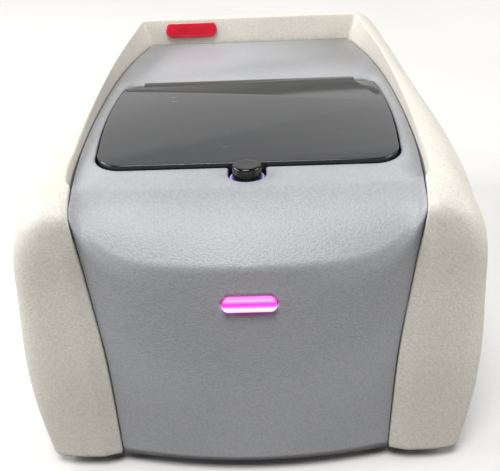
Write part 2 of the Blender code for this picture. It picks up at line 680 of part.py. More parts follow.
def hinge_pieces():
    box("lid_catch_magnet", (-16, -108.4, FLANGE_TOP_Z + GAP), (16, -104.4, SEAL_Z1 - 1.1), MAGNET)
    cylinder("lid_hinge_pin", (0, HINGE_Y, HINGE_Z), HINGE_PIN_R, 144, "X", STEEL, segments=16)
    for name, side in (("left", -1), ("right", 1)):
        x0, x1 = sorted((side * 63.0, side * 70.0))
        low, high = (x0, HINGE_Y - 3.3, FLANGE_TOP_Z + GAP), (x1, HINGE_Y + 3.3, HINGE_Z)
        bracket = box("hinge_bracket_" + name, low, high, STEEL)
        middle = ((x0 + x1) / 2, HINGE_Y, HINGE_Z)
        weld_on(bracket, tool_rod("bracket_eye", middle, KNUCKLE_R, x1 - x0, "X", 16))
        cut(bracket, tool_rod("pin_hole", middle, HINGE_PIN_R + GAP, 20, "X", 16))
    turns, wire, radius, x_start = 6, 0.5, 3.1, 20.0
    for name, side in (("left", -1), ("right", 1)):
        coil = []
        for k in range(turns * 10 + 1):
            turn = 2 * pi * k / 10
            along = side * (x_start + 1.6 * k / 10)
            coil.append((along, HINGE_Y + radius * cos(turn), HINGE_Z + radius * sin(turn)))
        tube("lid_spring_" + name, coil, wire, SPRING, resolution=1)


# ---------------------------------------------------------------- cartridge bay
BAY_X, BAY_FRONT_Y, BAY_REAR_Y, BAY_Z0, BAY_WALL = 88.0, -104.0, 34.0, 96.0, 2.5
BAY_FLOOR_Z = 98.5
PLUNGER_X, PLUNGER_Y = (58.0, 70.0), (-54.0, -32.0, -10.0)
PADDLE_X, PADDLE_Y = -62.0, 12.0
LENS_Y = -84.0


def bay_liner():
    made = plate("bay_liner", rounded(-98, -110.0, 98, 56, 8), FLANGE_LOW_Z, FLANGE_TOP_Z, BLACK)
    outer = rounded(-BAY_X, BAY_FRONT_Y, BAY_X, BAY_REAR_Y, 10)
    weld_on(made, plate("bay_tub", outer, BAY_Z0, FLANGE_LOW_Z + 1, where=tools))
    inner = rounded(-BAY_X + BAY_WALL, BAY_FRONT_Y + BAY_WALL, BAY_X - BAY_WALL, BAY_REAR_Y - BAY_WALL, 8)
    cut(made, plate("bay_hollow", inner, BAY_FLOOR_Z, 150, where=tools),
        tool_box("heater_window", (-30.5, -60.5, 80), (30.5, 0.5, 110)),
        tool_rod("lens_window", (0, LENS_Y, 97), 9.5, 20),
        tool_rod("paddle_hole", (PADDLE_X, PADDLE_Y, 97), 3.4, 20))
    for x in PLUNGER_X:
        for y in PLUNGER_Y:
            cut(made, tool_rod("plunger_hole", (x, y, 97), 3.4, 20, segments=12))
    return made


def bay_equipment():
    box("heater_block", (-30, -60, 96), (30, 0, 101), ALUMINIUM, bevel=0.6)
    box("peltier_module", (-28, -58, 92), (28, -2, 95.6), CERAMIC)
    outline = [(-34.0, -8.0)]
    for k in range(8):
        x = -34.0 + 9 * k
        outline += [(x, -14.0)] if k else []
        outline += [(x, -30.0), (x + 3, -30.0)] + ([(x + 3, -14.0)] if k < 7 else [])
    outline.append((32.0, -8.0))
    sink = plate("heat_sink", outline, -29, 29, ALUMINIUM)
    sink.rotation_euler = (pi / 2, 0, 0)
    sink.location = (0, -30 * MM, 99.6 * MM)
    bar = box("plunger_bar", (54, -60, 82), (74, -4, 87), ALUMINIUM)
    for x in PLUNGER_X:
        for y in PLUNGER_Y:
            weld_on(bar, tool_rod("plunger", (x, y, 90.5), 2.5, 9, segments=12))
    box("air_manifold", (50, -64, 56), (84, 0, 75), ALUMINIUM, bevel=1.0)
    motor = cylinder("beater_motor", (PADDLE_X, PADDLE_Y, 76), 12, 30, "Z", STEEL)
    cut(motor, tool_rod("motor_bore", (PADDLE_X, PADDLE_Y, 92), 1.8, 20, segments=12))
    paddle = cylinder("beater_paddle", (PADDLE_X, PADDLE_Y, 94), 1.5, 15.6, "Z", STEEL, segments=12)
    for k in range(3):
        blade = box("paddle_blade", (0, -1.5, -0.9), (10, 1.5, 0.9), where=tools)
        blade.matrix_world = (Matrix.Translation(Vector((PADDLE_X, PADDLE_Y, 100.7)) * MM)
                              @ Matrix.Rotation(2 * pi * k / 3, 4, "Z") @ Matrix.Translation(blade.location))
        weld_on(paddle, blade)
    box("magnet_rail", (-84, -60, 80), (-50, -20, 84), ALUMINIUM)
    box("magnet_slide", (-74, -50, 84.4), (-60, -38, 95.2), MAGNET, bevel=0.8)
    camera = box("camera_module", (-18, -98, 60), (18, -70, 90), BLACK, bevel=1.0)
    cut(camera, tool_rod("camera_bore", (0, LENS_Y, 88), 9.0, 16))
    lens = ((0, 97.5), (4, 97.2), (7, 96.0), (8.4, 94.0), (8.4, 80.6), (0, 80.6))
    turned("camera_lens", lens, (0, LENS_Y, 0), GLASS)


# ---------------------------------------------------------------- button, light ring and status light
def button_pieces():
    r, top = BUTTON_R, BUTTON_TOP_Z
    cap = ((0, top), (r - 1.3, top), (r, top - 1.3), (r, 136.5), (r - 1.1, 136.5),
           (r - 1.1, 146), (3, 146), (3, 127), (0, 127))
    turned("button_cap", cap, (0, BUTTON_Y, 0), BLACK, steps=28)
    ring = cylinder("button_light_ring", (0, BUTTON_Y, 138.6), r + 1.7, 9.4, "Z", CLEAR, segments=28)
    cut(ring, tool_rod("ring_bore", (0, BUTTON_Y, 138), r + 0.4, 30, segments=28))
    seat = box("button_seat", (-17, -137, FLANGE_LOW_Z), (17, -110.5, FLANGE_TOP_Z), BLACK)
    cut(seat, tool_rod("stem_hole", (0, BUTTON_Y, 132), 3.6, 20))
    box("button_switch", (-6, -126, 114), (6, -115, 124.4), BLACK)
    coil = []
    for k in range(5 * 12 + 1):
        turn = 2 * pi * k / 12
        coil.append((5.0 * cos(turn), BUTTON_Y + 5.0 * sin(turn), 134.4 + 10.8 * k / 60))
    tube("button_spring", coil, 0.5, SPRING, resolution=1)


def light_pieces():
    lean = Matrix.Rotation(-atan2(CREASE_Y + HALF_DEPTH, CREASE_Z - FACE_FOOT_Z), 4, "X")
    lens = plate("status_lens", stadium(0, 0, LIGHT_HALF, LIGHT_R), -5.0, 2.2, LAMP)
    place = Matrix.Translation((0, LIGHT_FACE_Y * MM, LIGHT_Z * MM))
    lens.matrix_world = place @ lean @ Matrix.Rotation(pi / 2, 4, "X")
    board = box("status_board", (-24, 0, -7), (24, 1.6, 7), BOARD)
    board.matrix_world = Matrix.Translation((0, (LIGHT_FACE_Y + 6.5) * MM, LIGHT_Z * MM)) @ lean


def badge():
    centre_x, half, radius = -52.0, 23.0, 6.5
    lean = atan2(RIM_Y - BULKHEAD_Y, HEIGHT - DECK_Z)
    made = plate("badge", stadium(0, 0, half, radius), 0.3, 2.0, RED)
    edge = made.modifiers.new("dome", "BEVEL")
    edge.width, edge.segments, edge.limit_method = 0.8 * MM, 2, "ANGLE"
    middle = Vector((centre_x, (BULKHEAD_Y + RIM_Y) / 2, (DECK_Z + HEIGHT) / 2 + 1.0))
    tilt = Matrix.Rotation(pi / 2 - lean, 4, "X")
    made.matrix_world = Matrix.Translation(middle * MM) @ tilt @ Matrix.Translation(made.location)


# ---------------------------------------------------------------- electrics and frame inside
def inside_pieces():
    for name, side in (("left", -1), ("right", 1)):
        x0, x1 = sorted((side * 91.0, side * 93.0))
        made = box("chassis_" + name, (x0, -105, TRAY_Z1 + GAP), (x1, 52, FLANGE_LOW_Z - GAP), ALUMINIUM)
        cut(made, tool_box("chassis_window", (x0 - 5, -70, 30), (x1 + 5, 20, 80)))
    supply = box("power_supply", (26, 60, 11), (96, 160, 55), STEEL, bevel=1.0)
    for k in range(4):
        cut(supply, tool_box("supply_vent", (38 + 12 * k, 75, 52), (42 + 12 * k, 145, 70)))
    board = box("main_board", (-92, 60, 18), (6, 158, 19.6), BOARD)
    for x, y, size, tall in ((-70, 90, 22, 4), (-34, 100, 28, 3), (-60, 132, 16, 8), (-14, 74, 12, 10)):
        half = size / 2
        weld_on(board, tool_box("chip", (x - half, y - half, 19), (x + half, y + half, 19.6 + tall)))
    pump = box("air_compressor", (34, -44, 12), (70, 18, 34), BLACK, bevel=1.5)
    weld_on(pump, tool_rod("pump_head", (52, -20, 40), 13, 24))
    tube("air_hose", [(52, -20, z) for z in (52.4, 54.0, 55.7)], 2.0, CLEAR)


outer_shell()
top_panel()
base_and_feet()
rear_panel()
rear_fittings()
power_rocker()
cooling_fan()
lid_pieces()
hinge_pieces()
bay_liner()
bay_equipment()
button_pieces()
light_pieces()
badge()
inside_pieces()
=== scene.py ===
# Looks of a bench-top thermal cycler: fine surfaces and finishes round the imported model,
# with a floor, soft studio lights and the camera. Lengths here are millimetres unless said.
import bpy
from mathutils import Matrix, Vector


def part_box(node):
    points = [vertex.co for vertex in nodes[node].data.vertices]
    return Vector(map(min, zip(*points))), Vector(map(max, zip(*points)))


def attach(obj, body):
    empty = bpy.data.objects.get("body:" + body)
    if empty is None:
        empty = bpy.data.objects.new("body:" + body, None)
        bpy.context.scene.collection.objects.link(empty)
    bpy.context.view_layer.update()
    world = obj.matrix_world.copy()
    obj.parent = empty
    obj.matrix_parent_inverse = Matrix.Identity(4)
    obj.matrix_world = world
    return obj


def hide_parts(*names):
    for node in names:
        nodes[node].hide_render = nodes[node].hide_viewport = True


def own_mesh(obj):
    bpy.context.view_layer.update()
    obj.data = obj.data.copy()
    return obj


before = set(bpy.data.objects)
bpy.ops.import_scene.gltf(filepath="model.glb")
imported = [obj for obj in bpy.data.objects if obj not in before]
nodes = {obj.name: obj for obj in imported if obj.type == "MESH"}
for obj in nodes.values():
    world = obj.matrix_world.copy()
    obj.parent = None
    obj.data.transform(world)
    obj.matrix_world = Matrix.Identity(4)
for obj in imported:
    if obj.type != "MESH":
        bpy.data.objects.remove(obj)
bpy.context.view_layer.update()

from math import atan2, cos, pi, radians, sin, tau

import bpy
import bmesh
from mathutils import Matrix, Vector

mm = 0.001  # millimetres to the scene's metres
scene = bpy.context.scene


def boxOf(node):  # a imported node's low and high corners, in millimetres
    low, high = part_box(node)
    return Vector(low) / mm, Vector(high) / mm


def middleOf(node):
    low, high = boxOf(node)
    return (low + high) / 2


# Colour and node helpers
def toLinear(hexColour):
    shares = [int(hexColour[k:k + 2], 16) / 255 for k in (1, 3, 5)]
    return (*[c / 12.92 if c <= 0.04045 else ((c + 0.055) / 1.055) ** 2.4 for c in shares], 1.0)


def addNode(tree, kind, settings=None, links=None):  # settings name a socket or a property
    node = tree.nodes.new(kind)
    for key, value in (settings or {}).items():
        if isinstance(key, int) or key in node.inputs:
            node.inputs[key].default_value = value
        else:
            setattr(node, key, value)
    for key, source in (links or {}).items():
        tree.links.new(source, node.inputs[key])
    return node


def startMaterial(name, colour, **sockets):  # sockets: Principled inputs, spaces left out
    made = bpy.data.materials.new(name)
    made.use_nodes = True
    tree = made.node_tree
    shader = tree.nodes["Principled BSDF"]
    shader.inputs["Base Color"].default_value = toLinear(colour)
    for key, value in sockets.items():
        shader.inputs[key.replace("_", " ")].default_value = value
    coords = addNode(tree, "ShaderNodeTexCoord").outputs["Object"]
    return made, tree, shader, coords


def scaleFor(millimetres):  # noise scale whose features are this far apart, on coordinates in metres
    return 1 / (millimetres * mm)


def noiseAt(tree, coords, size, detail=2.0, **settings):  # soft noise with features this many mm apart
    return addNode(tree, "ShaderNodeTexNoise", {"Scale": scaleFor(size), "Detail": detail, **settings},
                   {"Vector": coords}).outputs["Fac"]


def cellsAt(tree, coords, size, **settings):  # distance to the middle of cells this many mm apart
    return addNode(tree, "ShaderNodeTexVoronoi", {"Scale": scaleFor(size), **settings},
                   {"Vector": coords}).outputs["Distance"]


def remapped(tree, source, before, after=(0.0, 1.0)):  # before and after: (low, high)
    settings = {"From Min": before[0], "From Max": before[1], "To Min": after[0], "To Max": after[1]}
    return addNode(tree, "ShaderNodeMapRange", settings, {"Value": source}).outputs["Result"]


def combined(tree, operation, first, second):
    links = {0: first} if isinstance(second, float) else {0: first, 1: second}
    settings = {"operation": operation, **({1: second} if isinstance(second, float) else {})}
    return addNode(tree, "ShaderNodeMath", settings, links).outputs["Value"]


def rampBetween(tree, source, stops):  # stops: (place, hex colour)
    ramp = addNode(tree, "ShaderNodeValToRGB", links={"Fac": source})
    band = ramp.color_ramp
    while len(band.elements) < len(stops):
        band.elements.new(0.5)
    for element, (place, colour) in zip(band.elements, stops):
        element.position = place
        element.color = toLinear(colour)
    return ramp.outputs["Color"]


def colourFrom(tree, shader, source, stops, socket="Base Color"):
    tree.links.new(rampBetween(tree, source, stops), shader.inputs[socket])


def roughnessFrom(tree, shader, source, low, high):
    tree.links.new(remapped(tree, source, (0.0, 1.0), (low, high)), shader.inputs["Roughness"])


def bumpFrom(tree, shader, heights):  # heights: (source, depth in mm) laid one over another
    below = None
    for source, depth in heights:
        links = {"Height": source}
        if below:
            links["Normal"] = below
        bump = addNode(tree, "ShaderNodeBump", {"Strength": 1.0, "Distance": depth * mm}, links)
        below = bump.outputs["Normal"]
    tree.links.new(below, shader.inputs["Normal"])


# Moulded casing plastics
grainedAbs = {
    "grainMm": 0.8,         # leather grain, drawn a little coarser than the real 0.7 mm so that it shows
    "grainDepth": 0.13,
    "grainHollowPaintedShade": "#f0f0f0",  # painted shade laid over the hollows of the grain, so that they look a little darker
    "fineMm": 0.35,
    "fineDepth": 0.012,
    "mottleMm": 60.0,
    "speckMm": 9.0,
}


def makeGrainedAbs(name, colour, shade, dirt, roughness):  # leather-grained moulding: a soft broken sheen, with painted shade in the grain's hollows
    made, tree, shader, coords = startMaterial(name, colour, IOR=1.53)
    grain = cellsAt(tree, coords, grainedAbs["grainMm"], feature="SMOOTH_F1", Smoothness=0.6)
    swell = noiseAt(tree, coords, grainedAbs["grainMm"] * 1.8, 3.0)
    fine = noiseAt(tree, coords, grainedAbs["fineMm"])
    mottle = noiseAt(tree, coords, grainedAbs["mottleMm"], 4.0)
    specks = cellsAt(tree, coords, grainedAbs["speckMm"])
    base = rampBetween(tree, mottle, ((0.32, shade), (0.66, colour)))
    dirtMask = remapped(tree, specks, (0.035, 0.055), (0.75, 0.0))
    rare = combined(tree, "GREATER_THAN", mottle, 0.66)
    dirtHere = combined(tree, "MULTIPLY", dirtMask, rare)
    mixed = addNode(tree, "ShaderNodeMix", {"data_type": "RGBA", 7: toLinear(dirt)}, {0: dirtHere, 6: base})
    # painted shade: the base colour is darkened where the grain's bump is low, as shade falls there, so the
    # grain shows in flat light
    paintedHollowShade = rampBetween(tree, swell, ((0.35, grainedAbs["grainHollowPaintedShade"]), (0.62, "#ffffff")))
    shaded = addNode(tree, "ShaderNodeMix", {"data_type": "RGBA", "blend_type": "MULTIPLY", 0: 1.0},
                     {6: mixed.outputs[2], 7: paintedHollowShade})
    tree.links.new(shaded.outputs[2], shader.inputs["Base Color"])
    roughnessFrom(tree, shader, swell, roughness - 0.06, roughness + 0.06)
    bumpFrom(tree, shader, ((swell, grainedAbs["grainDepth"]), (grain, grainedAbs["grainDepth"] * 0.8),
                            (fine, grainedAbs["fineDepth"])))
    return made


# Glossy and clear plastics
def makeSmokedAcrylic():  # polished cast sheet: black depth, a mirror-like sheen and hairline scratches
    made, tree, shader, coords = startMaterial("polished smoked acrylic", "#26272a", Roughness=0.07, IOR=1.49)
    drawOut = {"Rotation": (0, 0, radians(24)), "Scale": (1.0, 14.0, 1.0)}
    stretched = addNode(tree, "ShaderNodeMapping", drawOut, {"Vector": coords}).outputs["Vector"]
    hair = noiseAt(tree, stretched, 26.0, 8.0, Roughness=0.72)
    where = noiseAt(tree, coords, 70.0)
    patch = remapped(tree, where, (0.56, 0.68))
    line = remapped(tree, hair, (0.655, 0.70), (0.0, 0.55))
    scratch = combined(tree, "MULTIPLY", patch, line)
    dust = cellsAt(tree, coords, 7.0)
    speck = remapped(tree, dust, (0.02, 0.045), (0.35, 0.0))
    wear = combined(tree, "MAXIMUM", scratch, speck)
    colourFrom(tree, shader, wear, ((0.0, "#26272a"), (1.0, "#c9cacd")))
    roughnessFrom(tree, shader, wear, 0.07, 0.6)
    return made


def makeBlackAbs(name, colour, roughness, depth):  # spark-eroded black moulding: dull, soft highlights
    made, tree, shader, coords = startMaterial(name, colour, Roughness=roughness, IOR=1.53)
    spark = noiseAt(tree, coords, 0.6, 3.0)
    cloud = noiseAt(tree, coords, 22.0, 3.0)
    roughnessFrom(tree, shader, cloud, roughness - 0.07, roughness + 0.09)
    bumpFrom(tree, shader, ((spark, depth),))
    return made


def makeRedResin():  # poured clear resin over red print: deep colour under a wet gloss
    made, tree, shader, coords = startMaterial("domed red resin", "#d0142f", Roughness=0.25, IOR=1.5,
                                               Coat_Weight=1.0, Coat_Roughness=0.04)
    cloud = noiseAt(tree, coords, 14.0)
    colourFrom(tree, shader, cloud, ((0.3, "#c2102a"), (0.7, "#d81a36")))
    return made


def makeRubber(name, colour, roughness):  # moulded rubber: matt, a little dusty
    made, tree, shader, coords = startMaterial(name, colour, Roughness=roughness, IOR=1.5)
    dust = noiseAt(tree, coords, 5.0, 5.0)
    pits = noiseAt(tree, coords, 0.5)
    roughnessFrom(tree, shader, dust, roughness - 0.1, roughness + 0.1)
    bumpFrom(tree, shader, ((pits, 0.03),))
    return made


def makeLampLens(low, high):  # lit diffusing polycarbonate: a white-hot band with magenta round it
    made, tree, shader, coords = startMaterial("lit diffusing polycarbonate", "#c23aa8", Roughness=0.2,
                                               IOR=1.58)
    height = addNode(tree, "ShaderNodeSeparateXYZ", links={"Vector": coords}).outputs["Z"]
    share = remapped(tree, height, (low * mm, high * mm))
    bands = ((0.10, "#e33fd0"), (0.22, "#ffe4fb"), (0.44, "#fff7ff"), (0.56, "#ff4fe0"), (0.74, "#ee18c4"),
             (0.92, "#ff9df0"))
    colourFrom(tree, shader, share, bands, "Emission Color")
    shader.inputs["Emission Strength"].default_value = 1.0
    return made


def makeLightGuide():  # edge-lit acrylic ring: a thin lavender glow
    made, tree, shader, coords = startMaterial("edge-lit acrylic", "#b7a2e6", Roughness=0.25, IOR=1.49)
    cloud = noiseAt(tree, coords, 4.0)
    colourFrom(tree, shader, cloud, ((0.3, "#8f74d8"), (0.7, "#b8a4f2")), "Emission Color")
    shader.inputs["Emission Strength"].default_value = 0.35
    return made


# Metals, ceramic, glass and board
def makeBrushedMetal(name, colour, roughness, brushMm, depth, across=(1.0, 18.0, 1.0)):  # fine parallel lines
    made, tree, shader, coords = startMaterial(name, colour, Roughness=roughness, Metallic=1.0)
    drawn = addNode(tree, "ShaderNodeMapping", {"Scale": across}, {"Vector": coords}).outputs["Vector"]
    lines = noiseAt(tree, drawn, brushMm, 4.0)
    roughnessFrom(tree, shader, lines, roughness - 0.08, roughness + 0.10)
    bumpFrom(tree, shader, ((lines, depth),))
    return made


def makeZincSteel():  # galvanised sheet: pale crystals a few millimetres across
    made, tree, shader, coords = startMaterial("zinc-plated steel", "#b9babb", Roughness=0.36, Metallic=1.0)
    crystals = addNode(tree, "ShaderNodeTexVoronoi", {"Scale": scaleFor(5.0)}, {"Vector": coords})
    tone = addNode(tree, "ShaderNodeSeparateColor", links={"Color": crystals.outputs["Color"]}).outputs["Red"]
    colourFrom(tree, shader, tone, ((0.0, "#a7a8aa"), (1.0, "#c6c7c8")))
    roughnessFrom(tree, shader, tone, 0.28, 0.46)
    return made


def makeCeramic():  # sintered alumina: chalk white, faintly speckled
    made, tree, shader, coords = startMaterial("sintered alumina", "#ecebe5", Roughness=0.45, IOR=1.76)
    speck = noiseAt(tree, coords, 0.8, 3.0)
    colourFrom(tree, shader, speck, ((0.35, "#dedcd4"), (0.65, "#f0efea")))
    bumpFrom(tree, shader, ((speck, 0.02),))
    return made


def makeBoard():  # solder-masked glass epoxy: green gloss with paler copper tracks under it
    made, tree, shader, coords = startMaterial("solder-masked glass epoxy", "#0f5a2c", Roughness=0.32,
                                               IOR=1.55)
    pattern = {"Scale": scaleFor(9.0), "Color1": toLinear("#0d5128"), "Color2": toLinear("#136233"),
               "Mortar": toLinear("#2f8a4c"), "Mortar Size": 0.03}
    tracks = addNode(tree, "ShaderNodeTexBrick", pattern, {"Vector": coords})
    tree.links.new(tracks.outputs["Color"], shader.inputs["Base Color"])
    return made


def makeLensGlass():  # coated optical glass: near black with a violet-blue reflection
    made, tree, shader, coords = startMaterial("coated optical glass", "#0a0d16", Roughness=0.03, IOR=1.6,
                                               Coat_Weight=1.0, Coat_Roughness=0.02)
    shader.inputs["Coat Tint"].default_value = toLinear("#9fb0ff")
    haze = noiseAt(tree, coords, 6.0)
    roughnessFrom(tree, shader, haze, 0.02, 0.06)
    return made


materials = {
    "ivory_moulding": makeGrainedAbs("grained ivory ABS", "#e5e1d6", "#dfdacf", "#8d8678", 0.46),
    "grey_moulding": makeGrainedAbs("grained grey ABS", "#afb0b4", "#a8a9ad", "#6a605c", 0.40),
    "smoked_window": makeSmokedAcrylic(),
    "black_plastic": makeBlackAbs("spark-eroded black ABS", "#0c0c0d", 0.42, 0.03),
    "gloss_black": makeBlackAbs("polished black ABS", "#08080a", 0.14, 0.0015),
    "red_badge": makeRedResin(),
    "foot_rubber": makeRubber("moulded brown-grey rubber", "#5a4c44", 0.75),
    "seal_rubber": makeRubber("extruded black rubber", "#151516", 0.7),
    "light_guide": makeLightGuide(),
    "clear_tube": makeRubber("extruded silicone tube", "#d9dbe0", 0.35),
    "plated_steel": makeZincSteel(),
    "spring_steel": makeBrushedMetal("drawn spring wire", "#8f9092", 0.3, 3.0, 0.004),
    "aluminium": makeBrushedMetal("milled aluminium", "#cfd1d3", 0.32, 4.0, 0.01),
    "ceramic": makeCeramic(),
    "circuit_board": makeBoard(),
    "lens_glass": makeLensGlass(),
    "magnet": makeBrushedMetal("nickel-plated magnet", "#c6c2ba", 0.18, 9.0, 0.002, (1.0, 1.0, 4.0)),
}
lampLow, lampHigh = boxOf("status_lens")
materials["status_lamp"] = makeLampLens(lampLow.z, lampHigh.z)
print("materials ready:", len(materials))


# Bmesh helpers: every shape is built in millimetres and scaled once at the end
def linkedObject(name, data):
    made = bpy.data.objects.new(name, data)
    scene.collection.objects.link(made)
    return made


def meshFrom(name, bm, size=mm):
    bmesh.ops.scale(bm, vec=(size, size, size), verts=bm.verts)
    mesh = bpy.data.meshes.new(name)
    bm.to_mesh(mesh)
    bm.free()
    return mesh


def finishPiece(name, bm, body, replaced, slot, material=None, sharpAngle=32.0):
    mesh = meshFrom(name, bm)
    mesh.materials.append(materials[material or slot])
    mesh.shade_smooth()
    mesh.set_sharp_from_angle(angle=radians(sharpAngle))
    piece = linkedObject(name, mesh)
    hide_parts(*replaced)
    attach(piece, body)
    return piece


def bakeModifiers(piece):  # applies what is live, so that later steps see the finished mesh
    bpy.context.view_layer.update()
    graph = bpy.context.evaluated_depsgraph_get()
    mesh = bpy.data.meshes.new_from_object(piece.evaluated_get(graph))
    piece.modifiers.clear()
    piece.data = mesh
    return piece


def pointOutwards(bm, farthest):  # farthest: a direction in which the outermost face must look
    bmesh.ops.recalc_face_normals(bm, faces=bm.faces)
    outermost = max(bm.faces, key=lambda face: face.calc_center_median().dot(farthest))
    if outermost.normal.dot(farthest) < 0:
        bmesh.ops.reverse_faces(bm, faces=bm.faces)


def bevelEdges(bm, edges, width, segments=3):
    return bmesh.ops.bevel(bm, geom=list(edges), offset=width, segments=segments, profile=0.5,
                           affect="EDGES", material=-1, clamp_overlap=True)


def addBlock(bm, low, high, bevel=0.0, segments=2, turn=None):
    made = bmesh.ops.create_cube(bm, size=1.0)["verts"]
    size = [h - l for l, h in zip(low, high)]
    centre = Vector([(h + l) / 2 for l, h in zip(low, high)])
    bmesh.ops.scale(bm, vec=size, verts=made)
    bmesh.ops.translate(bm, vec=centre, verts=made)
    if turn:
        bmesh.ops.transform(bm, matrix=turn, verts=made)
    if bevel:
        edges = {edge for vert in made for edge in vert.link_edges}
        bevelEdges(bm, edges, bevel, segments)


def addRod(bm, centre, radius, length, axis="Z", bevel=0.0, segments=40, topRadius=None):
    made = bmesh.ops.create_cone(bm, cap_ends=True, segments=segments, radius1=radius,
                                 radius2=radius if topRadius is None else topRadius, depth=length)["verts"]
    turns = {"X": Matrix.Rotation(pi / 2, 4, "Y"), "Y": Matrix.Rotation(-pi / 2, 4, "X"),
             "Z": Matrix.Identity(4)}
    bmesh.ops.transform(bm, matrix=Matrix.Translation(centre) @ turns[axis], verts=made)
    if bevel:
        faces = {face for vert in made for face in vert.link_faces if len(face.verts) == segments}
        bevelEdges(bm, {edge for face in faces for edge in face.edges}, bevel, 3)


def addTurned(bm, profile, centre, steps=64):  # profile: (radius, height) from the top of the axis down
    line = [bm.verts.new((r, 0, z)) for r, z in profile]
    edges = [bm.edges.new(pair) for pair in zip(line, line[1:])]
    bmesh.ops.spin(bm, geom=line + edges, cent=(0, 0, 0), axis=(0, 0, 1), angle=tau, steps=steps,
                   use_merge=True)
    bmesh.ops.remove_doubles(bm, verts=bm.verts, dist=0.001)
    bmesh.ops.recalc_face_normals(bm, faces=bm.faces)
    bmesh.ops.translate(bm, vec=centre, verts=bm.verts)


def addPlate(bm, outline, z0, z1, bevel=0.0, segments=3, both=False):
    ring = [bm.verts.new((x, y, z1)) for x, y in outline]
    top = bm.faces.new(ring)
    made = bmesh.ops.extrude_face_region(bm, geom=[top])
    bmesh.ops.translate(bm, vec=(0, 0, z0 - z1), verts=vertsIn(made["geom"]))
    bmesh.ops.recalc_face_normals(bm, faces=bm.faces)
    if bevel:
        rims = [edge for edge in bm.edges
                if all(abs(v.co.z - z1) < 0.001 or (both and abs(v.co.z - z0) < 0.001) for v in edge.verts)
                and abs(edge.verts[0].co.z - edge.verts[1].co.z) < 0.001]
        bevelEdges(bm, rims, bevel, segments)


def quarterTurn(steps):  # angles from nothing to a right angle, both ends included
    return [k / steps * pi / 2 for k in range(steps + 1)]


def vertsIn(items):
    return [item for item in items if isinstance(item, bmesh.types.BMVert)]


def edgesIn(items):
    return [item for item in items if isinstance(item, bmesh.types.BMEdge)]


def closedLoop(bm, ring, z):  # edges round a ring of (x, y) points, all at one height
    corners = [bm.verts.new((x, y, z)) for x, y in ring]
    return [bm.edges.new((corners[k - 1], corners[k])) for k in range(len(corners))]


def extendEdges(bm, edges):  # a strip of new faces from these edges: its new points and its far edges
    strip = bmesh.ops.extrude_edge_only(bm, edges=edges)["geom"]
    fresh = vertsIn(strip)
    return fresh, [edge for edge in edgesIn(strip) if set(edge.verts) <= set(fresh)]


def roundedOutline(x0, y0, x1, y1, radius, steps=8):
    ring = []
    for cx, cy, start in ((x1 - radius, y0 + radius, -pi / 2), (x1 - radius, y1 - radius, 0),
                          (x0 + radius, y1 - radius, pi / 2), (x0 + radius, y0 + radius, pi)):
        ring += [(cx + radius * cos(start + t), cy + radius * sin(start + t)) for t in quarterTurn(steps)]
    return ring


def stadiumOutline(half, radius, steps=16):
    turns = [k / steps * pi for k in range(steps + 1)]
    ring = [(half - radius + radius * sin(turn), -radius * cos(turn)) for turn in turns]
    return ring + [(-x, -y) for x, y in ring]


def through(t, points):  # smooth curve through a few (t, value) points, without overshoot
    if t <= points[0][0]:
        return points[0][1]
    if t >= points[-1][0]:
        return points[-1][1]
    steps = [(b[1] - a[1]) / (b[0] - a[0]) for a, b in zip(points, points[1:])]
    slopes = [steps[0]]
    for before, after in zip(steps, steps[1:]):
        slopes.append(0.0 if before * after <= 0 else 2 * before * after / (before + after))
    slopes.append(steps[-1])
    i = max(k for k in range(len(steps)) if points[k][0] <= t)
    span = points[i + 1][0] - points[i][0]
    s = (t - points[i][0]) / span
    return ((2 * s**3 - 3 * s**2 + 1) * points[i][1] + (s**3 - 2 * s**2 + s) * span * slopes[i]
            + (3 * s**2 - 2 * s**3) * points[i + 1][1] + (s**3 - s**2) * span * slopes[i + 1])


def mix(a, b, t):
    return a + (b - a) * t


def ease(t):
    t = min(max(t, 0.0), 1.0)
    return t * t * (3 - 2 * t)


# Casing form: level -1 is the bottom edge, 0 the widest line, 1 the crest
shellLow, shellHigh = boxOf("outer_shell")
deckZ = 145.0
casing = {
    "halfWidth": shellHigh.x,
    "halfDepth": shellHigh.y,
    "height": shellHigh.z,
    "bottomZ": shellLow.z,
    "widestZ": 107.0,
    "rimY": 176.0,
    "bulkheadY": 168.5,
    "sideEndY": 150.0,
    "rearPower": 5.0,
}
crestX = ((-140, 93.6), (-110, 97.9), (-90, 100.4), (-40, 102.4), (10, 103.0), (60, 102.2), (110, 99.5),
          (casing["rimY"], 94.0))
crestZ = ((-140, 147.6), (-92, 149.6), (casing["rimY"], casing["height"]))
shoulderPower = ((-150, 1.95), (-126, 2.4), (-111, 3.0), (-68, 3.0), (4, 2.3), (64, 2.0),
                 (casing["rimY"], 1.85))
lowerX = ((casing["bottomZ"], 113.0), (40, 122.0), (75, 126.3), (casing["widestZ"], casing["halfWidth"]))
frontEdge = (
    (-1.0, (74.0, -191.5, casing["bottomZ"])),
    (-0.5, (77.5, -182.0, 57.0)),
    (0.0, (86.0, -168.0, casing["widestZ"])),
    (0.3, (89.3, -163.5, 127.0)),
    (0.6, (91.2, -159.0, 140.5)),
    (0.85, (92.6, -147.5, 146.4)),
    (1.0, (94.2, -134.0, 148.0)),
)
cornerEnd = ((-1.0, -184.0), (-0.5, -166.0), (0.0, -137.0), (0.5, -130.0), (1.0, -92.0))
cornerPower = ((-1.0, 3.4), (-0.5, 3.0), (0.0, 4.2), (1.0, 2.0))
deckEdgeX = ((-134, 94.2), (-101, 97.9), (-75, 100.0), (-20, 102.2), (20, 102.6), (60, 101.6), (105, 98.0),
             (casing["bulkheadY"], 87.5))


def edgePoint(level):  # the casing's front edge, beside the grey panel
    return Vector([through(level, [(t, place[k]) for t, place in frontEdge]) for k in range(3)])


def edgeInward(level):  # the way its lip turns in: back on the face, down on the deck
    turn = ease(level / 0.85) * pi / 2
    return Vector((0, cos(turn), -sin(turn)))


